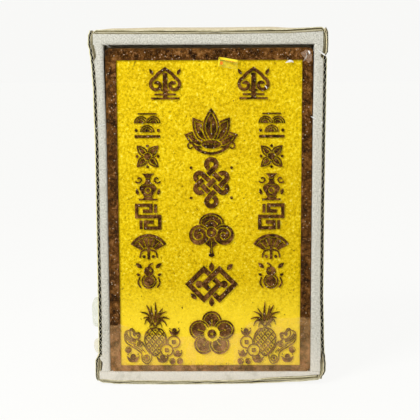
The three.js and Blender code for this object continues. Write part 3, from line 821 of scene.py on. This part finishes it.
# Between the ends of the stone's straight sides, in x and z
STRAIGHT = ((SLAB_LEFT + SLAB_CORNER, SLAB_RIGHT - SLAB_CORNER),
            (SLAB_LOW + SLAB_CORNER, SLAB_HIGH - SLAB_CORNER))
FIELD_OUTLINE = [(FIELD[0][i], FIELD[1][k]) for i, k in ((0, 0), (1, 0), (1, 1), (0, 1))]


def rounded_outline(inset):
    points = []
    for angle, i, k in ((-90, 1, 0), (0, 1, 1), (90, 0, 1), (180, 0, 0)):
        x, z = STRAIGHT[0][i], STRAIGHT[1][k]
        points += arc(x, z, SLAB_CORNER - inset, angle, angle + 90, 8)
    outline = []
    for a, b in zip(points, points[1:] + points[:1]):
        steps = max(round(math.dist(a, b) / 3), 1)
        outline += [tuple(p + (q - p) * i / steps for p, q in zip(a, b)) for i in range(steps)]
    return outline


def inside(outline, points):
    """Which of the points an outline goes round"""
    a = np.array(outline)
    b = np.roll(a, -1, axis=0)
    x, z = points[:, :1], points[:, 1:]
    side = (b[:, 0] - a[:, 0]) * (z - a[:, 1]) - (x - a[:, 0]) * (b[:, 1] - a[:, 1])
    rising = (a[:, 1] <= z) & (b[:, 1] > z) & (side > 0)
    falling = (b[:, 1] <= z) & (a[:, 1] > z) & (side < 0)
    return rising.sum(axis=1) != falling.sum(axis=1)


def triangles(outlines, extra=()):
    """The plane cut along all outlines: its points, and its raised and its sunk triangles"""
    points, lines = [], []
    for outline, _ in outlines:
        start, count = len(points), len(outline)
        lines += [(start + i, start + (i + 1) % count) for i in range(count)]
        points += outline
    points = [Vector(point) for point in (*points, *extra)]
    flat, _, tris, _, _, _ = delaunay_2d_cdt(points, lines, [], 0, 1e-5, False)
    corners = np.array([tuple(point) for point in flat])[np.array(tris)]
    centres = corners.mean(axis=1)
    (ux, uz), (vx, vz) = ((corners[:, i] - corners[:, 0]).T for i in (1, 2))
    if (ux * vz - uz * vx).sum() < 0:
        tris = [tri[::-1] for tri in tris]
    raised = np.zeros(len(tris), bool)
    for outline, up_here in outlines:
        low, high = np.min(outline, axis=0), np.max(outline, axis=0)
        near = np.nonzero(((centres > low) & (centres < high)).all(axis=1))[0]
        raised[near[inside(outline, centres[near])]] = up_here
    tops, floors = ([tri for tri, up_here in zip(tris, raised) if up_here == kind]
                    for kind in (True, False))
    return [tuple(point) for point in flat], tops, floors


def open_edges(tris):
    """The edges that only one of the triangles has, in that triangle's direction"""
    found = set()
    for tri in tris:
        for a, b in zip(tri, (*tri[1:], tri[0])):
            if (b, a) in found:
                found.remove((b, a))
            else:
                found.add((a, b))
    return found


def stone_mesh(strokes):
    outlines = [(rounded_outline(ARRIS), True), (FIELD_OUTLINE, False), *strokes]
    flat, tops, floors = triangles(outlines)
    outside = open_edges(tops + floors)
    steps = open_edges(tops) - outside
    push = {}
    for a, b in steps:
        length = math.dist(flat[a], flat[b]) or 1
        inward = (-(flat[b][1] - flat[a][1]) / length, (flat[b][0] - flat[a][0]) / length)
        for v in (a, b):
            push.setdefault(v, []).append(inward)

    def top(v):
        """Drawn in a little from the floor's point, so that the relief's sides slope"""
        x, z = flat[v]
        if len(push.get(v, ())) == 2:
            (a, b), (c, d) = push[v]
            reach = WALL_SLOPE / max(1 + a * c + b * d, 0.6)
            x, z = x + (a + c) * reach, z + (b + d) * reach
        return x, SLAB_FRONT, z

    points = []
    top_at = numbered(top, points)
    floor_at = numbered(lambda v: (flat[v][0], FIELD_FLOOR, flat[v][1]), points)
    faces = [[top_at(v) for v in tri] for tri in tops]
    faces += [[floor_at(v) for v in tri] for tri in floors]
    faces += [(top_at(b), top_at(a), floor_at(a), floor_at(b)) for a, b in steps]
    # The arrises and sides, ring by ring, and the back
    following = dict(outside)
    loop = [next(iter(following))]
    while following[loop[-1]] != loop[0]:
        loop.append(following[loop[-1]])
    last = [top_at(v) for v in loop]
    sections = [(SLAB_FRONT + ARRIS, -1, 30), (SLAB_FRONT + ARRIS, -1, 60)]
    sections += [(SLAB_FRONT + ARRIS, -1, 90), (SLAB_BACK - ARRIS, 1, 90)]
    sections += [(SLAB_BACK - ARRIS, 1, angle) for angle in (60, 30, 0)]
    for middle, way, angle in sections:
        rise, out = polar(0, 0, ARRIS, angle)
        y = middle + way * rise
        ring = list(range(len(points), len(points) + len(loop)))
        for v in loop:
            x, z = flat[v]
            dx, dz = beyond(x, *STRAIGHT[0]), beyond(z, *STRAIGHT[1])
            wear = out * (1 - 0.12 * max(rough(x, y, z, 5, 3), 0)) / (math.hypot(dx, dz) or 1)
            points.append((x + dx * wear, y, z + dz * wear))
        faces += zip(last, ring, ring[1:] + ring[:1], last[1:] + last[:1])
        last = ring
    faces.append(last[::-1])
    return points, faces


def beyond(value, low, high):
    """How far a value is past a range"""
    return value - min(max(value, low), high)


def paint_mesh(strokes):
    """The paint on the sunk field, its grain as deep as the sandblasted stone's"""
    columns, rows = (round((high - low) / PAINT_STEP) for low, high in FIELD)
    extra = [
        tuple(low + (high - low) * at / count + random.uniform(-0.3, 0.3) * PAINT_STEP
              for (low, high), at, count in zip(FIELD, (i, j), (columns, rows)))
        for i in range(1, columns) for j in range(1, rows)
    ]
    flat, _, floors = triangles([(FIELD_OUTLINE, False), *strokes], extra)

    def point(v):
        x, z = flat[v]
        depth = 0.62 * rough(x, 0, z, 1.7) + 0.38 * rough(x, 0, z, 4.5, 5)
        return x, FIELD_FLOOR - PAINT_THICK - PAINT_GRAIN * depth, z

    points = []
    at = numbered(point, points)
    return points, [[at(v) for v in tri] for tri in floors]


# The board's shape
def forward(y):
    """0 at the tray's back panel and 1 at its front"""
    return (PANEL_FRONT - y) / (PANEL_FRONT - TRAY_FRONT)


def flap_at(side, z, y, depth):
    """How far from the middle a point of a side flap is, a depth out from its inner face"""
    f = forward(y)
    lost = (BOARD_THICK - depth) * (1 - (1 - read(CRUSHED[side], z)) * f)
    return WALL_IN + BOARD_THICK + read(LEANS[side], z) * f - lost


def tab_at(side, z, y):
    """The distance from the middle of a corner tab's outer face"""
    return min(flap_at(side, z, y, 0) - FIT_GAP, TAB_OUT + 3 * forward(y))


def tab_thick(side, end, y):
    return TAB_THICK + (TAB_SWOLLEN[side, end] - TAB_THICK) * forward(y)


def low_inside(x, y):
    """The height of the lower end flap's inner face"""
    f = forward(y)
    return read(LOW_SAG, x) * f + BOARD_THICK * (1 + (read(LOW_THICK, x) - 1) * f)


def high_inside(x, y):
    return TRAY_HIGH - BOARD_THICK + read(TOP_RISE, x) * forward(y) * 0.8


def top_bow(x, y):
    """How far the upper end flap bulges between its fold and its edge"""
    return math.sin(math.pi * min((1 - forward(y)) * 1.15, 1)) * read(TOP_BOW, x)


# Foam
FOAM_EDGE = 1.2
FOAM_STEP = 1.5
FOAM_FARTHEST = 98.2


def foam_strip(part, material, shape):
    """A strip of foam with soft edges, its faces a little uneven from the knife"""
    node = f"foam_{part}"
    (x0, y0, z0), (x1, y1, z1) = node_box(node)
    narrow = min(x1 - x0, z1 - z0) / 2
    upright = z1 - z0 > x1 - x0

    def stops(low, high):
        count = max(round((high - low) / FOAM_STEP), 4)
        first, reach = low + FOAM_EDGE, high - low - 2 * FOAM_EDGE
        inner = [first + reach * i / count for i in range(count + 1)]
        return [low, low + 0.3 * FOAM_EDGE, *inner, high - 0.3 * FOAM_EDGE, high]

    xs, ys, zs = stops(x0, x1), [y0, y0 + 1.5, (y0 + y1) / 2, y1], stops(z0, z1)

    def place(i, j, k):
        x, y, z = xs[i], ys[j], zs[k]
        turned_edge = 1
        if upright:
            inner, outer = (x1 - x, x - x0) if x0 < 0 else (x - x0, x1 - x)
        else:
            inner, outer = (z1 - z, z - z0) if z0 < TRAY_HIGH / 2 else (z - z0, z1 - z)
            turned_edge = read([(SLAB_RIGHT - 2, 1), (SLAB_RIGHT + 2, 0)], abs(x))
        if y == y0:
            round_off = 1 - math.sqrt(max(1 - (1 - min(inner / FOAM_EDGE, 1)) ** 2, 0))
            crown = 0.5 * (1 - math.sin(math.pi / 2 * min(inner / narrow, 1)))
            swell = (y0 - TRAY_FRONT - 0.15) * min(inner / narrow, 1)
            y += (FOAM_EDGE * round_off + crown) * turned_edge - swell
            y += 0.06 * (1 + rough(x, 0, z, 6, 3))
        px, pz = shape(x, z, y, (x0, x1, z0, z1))
        if min(inner, outer) < FOAM_EDGE:
            px += 0.12 * rough(x, ys[j], z, 7, 1)
            pz += 0.12 * rough(x, ys[j], z, 7, 2)
        return px, y, pz

    points, faces, _ = block((len(xs), len(ys), len(zs)), place)
    strip = piece(f"{part}_foam", points, faces, material, "foam", [node], True)


def side_foam(side):
    """Pressed against the side flap, which it follows"""
    def shape(x, z, y, box):
        inner, outer = (box[1], box[0]) if side < 0 else (box[0], box[1])
        t = (x - inner) / (outer - inner)
        end = -1 if z < TRAY_HIGH / 2 else 1
        ends = [(TAB_REACH - 3, 0), (TAB_REACH + 1, 1)]
        tabbed = 1 - read(ends, z if end < 0 else TRAY_HIGH - z)
        behind_tab = tab_at(side, z, y) - (tab_thick(side, end, y) + FIT_GAP) * tabbed
        reach = min(flap_at(side, z, y, 0) - 0.15, FOAM_FARTHEST,
                    behind_tab - read(FOAM_SHORT[side], z) * forward(y))
        gap = read(STONE_GAP[side], z) * (1 - t)
        return inner + (side * reach - inner) * t + side * gap, z
    return shape


def end_foam(end):
    """Pressed against the end flap, its ends swollen over the corner tabs"""
    def shape(x, z, y, box):
        inner, outer = (box[3], box[2]) if end < 0 else (box[2], box[3])
        t = (z - inner) / (outer - inner)
        swell = 1 + FOAM_SWELL[1 if x > 0 else -1, end] * forward(y) * (abs(x) / box[1]) ** 8
        face = low_inside(x, y) + 0.05 if end < 0 else high_inside(x, y) - 0.1
        return x * swell, inner + (face - inner) * t
    return shape


# The board
def ply(part, layer, ways, depths, place, thick, looks):
    """A sheet of paper. The looks are those of its two faces and of its cut edges."""
    points, faces, sides = block((2, len(depths), len(ways)),
                                 lambda side, j, i: place(ways[i], depths[j], side * thick))
    materials = [PAPERS[look] for look in looks.split()]
    sheet = piece(f"{part}_{layer}", points, faces, materials[0], "board", [f"tray_{part}_wall"])
    for material in materials[1:]:
        sheet.data.materials.append(material)
    kinds = [min(side, 2) for side in sides]
    sheet.data.polygons.foreach_set("material_index", kinds)
    sheet.data.polygons.foreach_set("use_smooth", [kind < 2 for kind in kinds])


def side_flap(side):
    part = "left" if side < 0 else "right"
    heights = [TRAY_HIGH * i / FLAP_ROWS for i in range(FLAP_ROWS + 1)]
    depths = [TRAY_FRONT, TRAY_FRONT + 0.5, TRAY_FRONT + 4, 0, 3.5, 6.5, PANEL_FRONT]

    def out_at(z, y, depth):
        """Inside the flap, whose corners are pulled round with the end flaps' edges"""
        ragged = 0.35 * max(rough(0, 0, z, 3, side), 0) if y == TRAY_FRONT else 0
        low = max(1 - z / 10, 0) * (read(LOW_SAG, side * 100) + 0.3)
        high = max(1 - (TRAY_HIGH - z) / 10, 0) * (read(TOP_RISE, side * 100) - 0.4)
        # Pressed flat where it is folded to the back panel
        depth = BOARD_THICK - (BOARD_THICK - depth) * read([(1, 1), (PANEL_FRONT, 0.15)], y)
        return (side * flap_at(side, z, y, depth), y + ragged, z + forward(y) * (low + high))

    outer = OUTER_LINER[side]
    reach = (BOARD_THICK - outer - INNER_LINER - MEDIUM_THICK) / 2

    def fluting(z, y, thick):
        drift = 0.6 * rough(0, 0, z, 14, 4 + side)
        swing = math.sin(2 * math.pi * (z + drift) / FLUTE_PITCH)
        shaped = 0.5 * swing + math.asin(swing) / math.pi
        return out_at(z, y, INNER_LINER + reach * (1 + shaped) + thick)

    def liner(base):
        """Paper that shows the fluting behind it a little"""
        washboard = 0.06 if base else -0.06
        return lambda z, y, thick: out_at(
            z, y, base + thick + washboard * math.cos(2 * math.pi * z / FLUTE_PITCH))

    # The faces inside the fluting take the inside look, painted shade that is nearly black
    for layer, place, thick, looks in (
        ("outer_liner", liner(BOARD_THICK - outer), outer, "inside kraft rim"),
        ("fluting", fluting, MEDIUM_THICK, "inside inside vein"),
        ("inner_liner", liner(0), INNER_LINER, "kraft inside vein"),
    ):
        ply(part, layer, heights, depths, place, thick, looks)


def end_flap(end):
    """An end flap, with a tab at each end, crushed thinner and tucked behind the side flap"""
    part = "bottom" if end < 0 else "top"
    width = TAB_OUT - FOLD_RADIUS
    corner = math.pi / 2 * FOLD_RADIUS
    tab = TAB_REACH - FOLD_RADIUS
    total = 2 * (width + corner + tab)

    def path(u):
        """A point on the U's outside, its way in, its side and how far it is round the corner"""
        side = math.copysign(1, u - total / 2)
        s = abs(u - total / 2)
        if s < width:
            return side * s, 0, 0, 1, side, 0
        if s < width + corner:
            rise, out = polar(0, 0, FOLD_RADIUS, math.degrees((s - width) / FOLD_RADIUS))
            return (side * (width + out), FOLD_RADIUS - rise, -side * out / FOLD_RADIUS,
                    rise / FOLD_RADIUS, side, (s - width) / corner)
        return side * TAB_OUT, FOLD_RADIUS + s - width - corner, -side, 0, side, 1

    ways = sorted({
        *(total * i / 150 for i in range(151)),
        *(tab + corner * i / FOLD_COLUMNS for i in range(FOLD_COLUMNS + 1)),
        *(total - tab - corner * i / FOLD_COLUMNS for i in range(FOLD_COLUMNS + 1)),
    })
    depths = sorted({TRAY_FRONT, TRAY_FRONT + 0.5, PANEL_FRONT,
                     *(TRAY_FRONT + 0.5 + 0.85 * i for i in range(1, 24))})

    def out_at(u, y, depth):
        x, z, nx, nz, side, tabbed = path(u)
        y = min(y, PANEL_FRONT)
        f = forward(y)
        depth *= 1 - tabbed * (1 - tab_thick(int(side), end, y) / BOARD_THICK)
        if end < 0:
            depth *= 1 + (read(LOW_THICK, x) - 1) * f * (1 - tabbed)
            lift = read(LOW_SAG, x) * f
        else:
            bow = top_bow(x, y) * (1 - depth / BOARD_THICK) * (1 - tabbed)
            lift = -read(TOP_RISE, x) * f - bow
        px, pz = x + nx * depth, z + nz * depth
        lift *= max(1 - pz / TAB_REACH, 0)
        high = pz + lift if end < 0 else TRAY_HIGH - pz - lift
        if tabbed:
            push = tab_at(int(side), min(max(high, 0), TRAY_HIGH), y) - TAB_OUT
            px += side * tabbed * push
        tapered = TAB_TAPER * tabbed * max(pz / TAB_REACH, 0) * f
        ragged = 0.3 * max(rough(px, 0, pz, 4, 6 + end), 0) if y == TRAY_FRONT else 0
        return (px, y + ragged + tapered, high)

    reach = (BOARD_THICK - 2 * END_LINER - MEDIUM_THICK) / 2

    def fluting(u, y, thick):
        drift = 2.4 * rough(u, 0, 0, 46, 8 + end) + 0.7 * rough(u, 0, 0, 10, 3 + end)
        swing = math.sin(2 * math.pi * (y + drift) / FLUTE_PITCH + 1.2 * end)
        return out_at(u, y, END_LINER + reach * (1 + swing) + thick)

    def liner(base):
        return lambda u, y, thick: out_at(u, y, base + thick)

    for layer, place, thick, looks in (
        ("outer_liner", liner(0), END_LINER, "kraft medium worn"),
        ("fluting", fluting, MEDIUM_THICK, "medium medium vein"),
        # The top flap's inner liner has its cut edge in painted shadow, the foam's shadow on it
        ("inner_liner", liner(BOARD_THICK - END_LINER), END_LINER,
         "medium kraft " + ("worn" if end < 0 else "shade")),
    ):
        ply(part, layer, ways, depths, place, thick, looks)


# The film
SKIRT = [(0.35, 0.12), (0.8, 0.9), (1, 6), (1, 12), (1, 17), (1, FILM_BACK - TRAY_FRONT)]


def film_mesh():
    """Film stretched over the open front and down the tray's sides, creased where it is slack"""
    columns, rows, skirt = 120, 176, len(SKIRT)

    def point(i, j):
        u = min(max(i, 0), columns) / columns
        v = min(max(j, 0), rows) / rows
        left, right = (flap_at(side, TRAY_HIGH * v, TRAY_FRONT, BOARD_THICK) + FILM_STANDS
                       for side in (-1, 1))
        x = -left + (left + right) * u
        low = read(LOW_SAG, x)
        z = low + (TRAY_HIGH + read(TOP_RISE, x) - low) * v
        y = TRAY_FRONT - FILM_STANDS
        over_x, over_z = beyond(i, 0, columns), beyond(j, 0, rows)
        if not over_x and not over_z:
            slack = math.sin(math.pi * u) ** 0.3 * math.sin(math.pi * v) ** 0.3
            return x, y - 0.12 * slack * (rough(x, 0, z, 38, 2) + 0.5 * rough(x, 0, z, 12, 4)), z
        y += SKIRT[max(abs(over_x), abs(over_z)) - 1][1]
        stand = 0.1 * rough(x, y, z, 9, 6)
        back = 1 - forward(y)
        if over_x:
            side = -1 if over_x < 0 else 1
            x += side * (0.1 + stand - read(LEANS[side], TRAY_HIGH * v) * back * 0.95)
        if over_z < 0:
            z -= 0.12 + stand + low * back
        if over_z > 0:
            z += 0.12 + stand + top_bow(x, y) - read(TOP_RISE, x) * back
        return x, y, z

    points = []
    at = numbered(point, points)
    faces = [
        [at(i, j), at(i + 1, j), at(i + 1, j + 1), at(i, j + 1)]
        for j in range(-skirt, rows + skirt) for i in range(-skirt, columns + skirt)
        if 0 <= i < columns or 0 <= j < rows
    ]
    return points, faces


def ribbon(points, width, y, pointed=True):
    """A thin ribbon in front of the film along a line"""
    points = curve(points, 5)
    n = len(points) - 1
    widths = [width * (math.sin(math.pi * (i + 0.4) / (n + 0.8)) if pointed else 1)
              * (1 + 0.3 * rough(x, 0, z, 2, 5)) for i, (x, z) in enumerate(points)]
    return sheet_of(*edges(points, widths), y)


def sheet_of(right, left, y, thick=0.05):
    """A thin sheet between two lines, closed on all sides"""
    def place(i, j, k):
        x, z = (left if k else right)[i]
        return x, y + thick * j, z
    return block((len(right), 2, 2), place)[:2]


def joined(parts):
    points, faces = [], []
    for more, sides in parts:
        faces += [[v + len(points) for v in face] for face in sides]
        points += more
    return points, faces


# Creases gone white, with the glints they catch painted on, and faint wrinkles whose lightness is
# painted sheen: lines and widths
CREASES_AND_GLINTS = [
    ([(-98.5, 226.8), (-96.1, 228.3), (-93, 230.3), (-90.8, 230.8), (-88.9, 231.5)], 0.9),
    ([(87.4, 237.2), (89.5, 236.2), (91.7, 235)], 1.2), ([(96, 232.6), (97.6, 231.6)], 1.1),
    ([(92.3, 294.1), (95.3, 291.8), (97.9, 289.8), (100.3, 288.2)], 1.3),
    ([(65.2, 283), (67.7, 284.2), (70.3, 284.4), (72, 283.4)], 1.9),
    ([(47.7, 263.8), (48.8, 262.5), (49.5, 260.8)], 0.8),
    ([(84.2, 293.2), (85.3, 292), (85.8, 290)], 1.2),
]
WRINKLES_AND_SHEEN = [
    ([(-95.5, 306.9), (-89.6, 300.2), (-83.7, 296)], 0.6),
    ([(80, 284), (83, 288), (82.5, 293)], 0.6), ([(-97, 150), (-95.5, 128), (-97, 110)], 0.5),
    ([(92, 180), (95, 150), (93, 120)], 0.5),
]
# Painted sheen: a lighter, pinkish patch on the film over the stone's top right corner, between two
# lines
SHEEN_PATCH = ([(77.9, 291.2), (80.2, 288), (83, 284.6), (85.2, 282.7)],
         [(82.5, 294.1), (86.8, 292.8), (87.8, 289), (87.7, 285.2)])
# Folds of film that stand out past the left flap: the outer edge and the heights of the root
FIN_ROOT = -98.9
FINS = [
    ("film_fin", [(-99, 79.9), (-102.4, 77.2), (-104.3, 70.9), (-104.2, 61.8), (-103.3, 53.6),
                  (-99.6, 51.8)], (79, 75, 70, 62, 56, 52.4), (0.84, 0.86, 0.74)),
    ("film_fin_low", [(-99.6, 41.8), (-102.5, 39.5), (-103.1, 33.6), (-101.6, 29), (-99.3, 28.1)],
     (41, 38, 34, 30, 28.6), (0.88, 0.84, 0.66)),
]


def film_details():
    # Painted glints on the whitened creases, painted sheen on the faint wrinkles
    for name, lines, look in (
        ("film_creases", CREASES_AND_GLINTS, ("crease", (0.93, 0.93, 0.9), 0.95)),
        ("film_wrinkles", WRINKLES_AND_SHEEN, ("faint crease", (0.9, 0.88, 0.82), 0.35)),
    ):
        ribbons = [ribbon(points, width, FILM_FRONT) for points, width in lines]
        piece(name, *joined(ribbons), film_mark_and_glint_material(*look), "foam")
    # Painted sheen: the film made lighter where it rises over the stone's top right corner
    corner_sheen = film_mark_and_glint_material("double film", (0.62, 0.4, 0.26), 0.26)
    piece("film_patch", *sheet_of(*SHEEN_PATCH, FILM_FRONT + 0.06), corner_sheen, "foam")
    for name, outer, heights, colour in FINS:
        root = curve([(FIN_ROOT, z) for z in heights], 4)
        fin = sheet_of(curve(outer, 4), root, TRAY_FRONT + 0.4)
        piece(name, *fin, film_mark_and_glint_material(name.replace("_", " "), colour, 0.55), "foam")


def tape():
    """What is left of a strip of printed tape on the film, its lettering left out"""
    y = FILM_FRONT
    yellow = tape_material("tape", (0.9, 0.66, 0), (1, 0.84, 0.02), 0.96)
    rails = [ribbon([(8.6, 287.2), (24.4, 284.5)], 1.9, y, False),
             ribbon([(8.8, 287.6), (8, 280.4)], 1.2, y, False)]
    piece("tape_edges", *joined(rails), yellow, "foam")
    clear = tape_material("clear tape", (1, 0.78, 0.02), (1, 0.9, 0.12), 0.13)
    strip = [(8.8, 287.6), (8.3, 284), (7.8, 280.1)], [(24.4, 285), (24.3, 281), (24.1, 277)]
    piece("tape_sheet", *sheet_of(*strip, y + 0.07), clear, "foam")
    orange = tape_material("orange tape", (0.86, 0.19, 0), (1, 0.32, 0.005), 0.92)
    marks = [ribbon([(10.7, 284.4), (10.5, 281.6)], 2.2, y - 0.06, False),
             ribbon([(13.5, 285.3), (24, 283.4)], 0.5, y - 0.06)]
    piece("tape_marks", *joined(marks), orange, "foam")


strokes = ornaments()
piece("tablet", *stone_mesh(strokes), granite_material(), "granite", ["granite_tablet"])
piece("gilding", *paint_mesh(strokes), paint_material(), "gilt",
      ["gilt_ground"] + [f"gilt_eye_{i}" for i in range(1, 5)], True)

foam = foam_material()
for part, shape in (("bottom", end_foam(-1)), ("top", end_foam(1)),
                    ("left", side_foam(-1)), ("right", side_foam(1))):
    foam_strip(part, foam, shape)

PAPERS = {
    "kraft": board_material("kraft liner", (0.56, 0.47, 0.29), (0.84, 0.75, 0.53)),
    "rim": board_material("cut edge", (0.68, 0.63, 0.33), (0.95, 0.91, 0.6), 0.7),
    # Painted shadow: the top flap's inner liner edge, dark where the foam shades it
    "shade": board_material("dirty edge", (0.12, 0.1, 0.05), (0.46, 0.41, 0.24), 2),
    "worn": board_material("worn edge", (0.36, 0.32, 0.16), (0.98, 0.93, 0.66), 2.2),
    "vein": board_material("cut fluting", (0.66, 0.62, 0.42), (0.95, 0.92, 0.74), 0.7),
    "medium": board_material("medium", (0.26, 0.22, 0.11), (0.5, 0.44, 0.25), 0.8),
    # Painted shade: the faces inside the fluting, nearly black as they look in shade
    "inside": board_material("inside of the fluting", (0.006, 0.005, 0.002),
                             (0.02, 0.016, 0.008), 0.8),
}
for side in (-1, 1):
    side_flap(side)
for end in (-1, 1):
    end_flap(end)
panel = bpy.data.objects["tray_back_panel"]
panel.data.materials.clear()
panel.data.materials.append(PAPERS["kraft"])

piece("film", *film_mesh(), film_material(), "foam", (), True)
film_details()
tape()

# The stage
bpy.ops.mesh.primitive_plane_add(size=STAGE_SIZE, location=(0, 0, FLOOR_Z))
floor = bpy.context.object
floor.name = "floor"
floor.data.materials.append(floor_material())

world = bpy.data.worlds.new("studio")
bpy.context.scene.world = world
sky = Nodes(world)
level = sky.plus(sky.times(sky.seen(), WORLD_SEEN), WORLD_LEVEL)
sky.give(sky.tree.nodes["Background"], Color=STAGE_WHITE, Strength=level)

key = bpy.data.objects.new("key", bpy.data.lights.new("key", "AREA"))
key.data.energy = KEY_WATTS
key.data.size = KEY_SIZE
key.location = KEY_PLACE
key.rotation_euler = (AIM - key.location).to_track_quat("-Z", "Y").to_euler()
bpy.context.collection.objects.link(key)

camera = bpy.data.objects.new("camera", bpy.data.cameras.new("camera"))
camera.data.lens = CAMERA_FOCAL
camera.data.sensor_width = CAMERA_FILM
back = Vector((
    math.sin(CAMERA_SIDE) * math.cos(CAMERA_DOWN),
    -math.cos(CAMERA_SIDE) * math.cos(CAMERA_DOWN),
    math.sin(CAMERA_DOWN),
))
camera.location = AIM + back * CAMERA_DISTANCE
turn = (-back).to_track_quat("-Z", "Y") @ Quaternion((0, 0, 1), CAMERA_ROLL)
camera.rotation_euler = turn.to_euler()
bpy.context.collection.objects.link(camera)
bpy.context.scene.camera = camera
bpy.context.scene.view_settings.view_transform = "Standard"
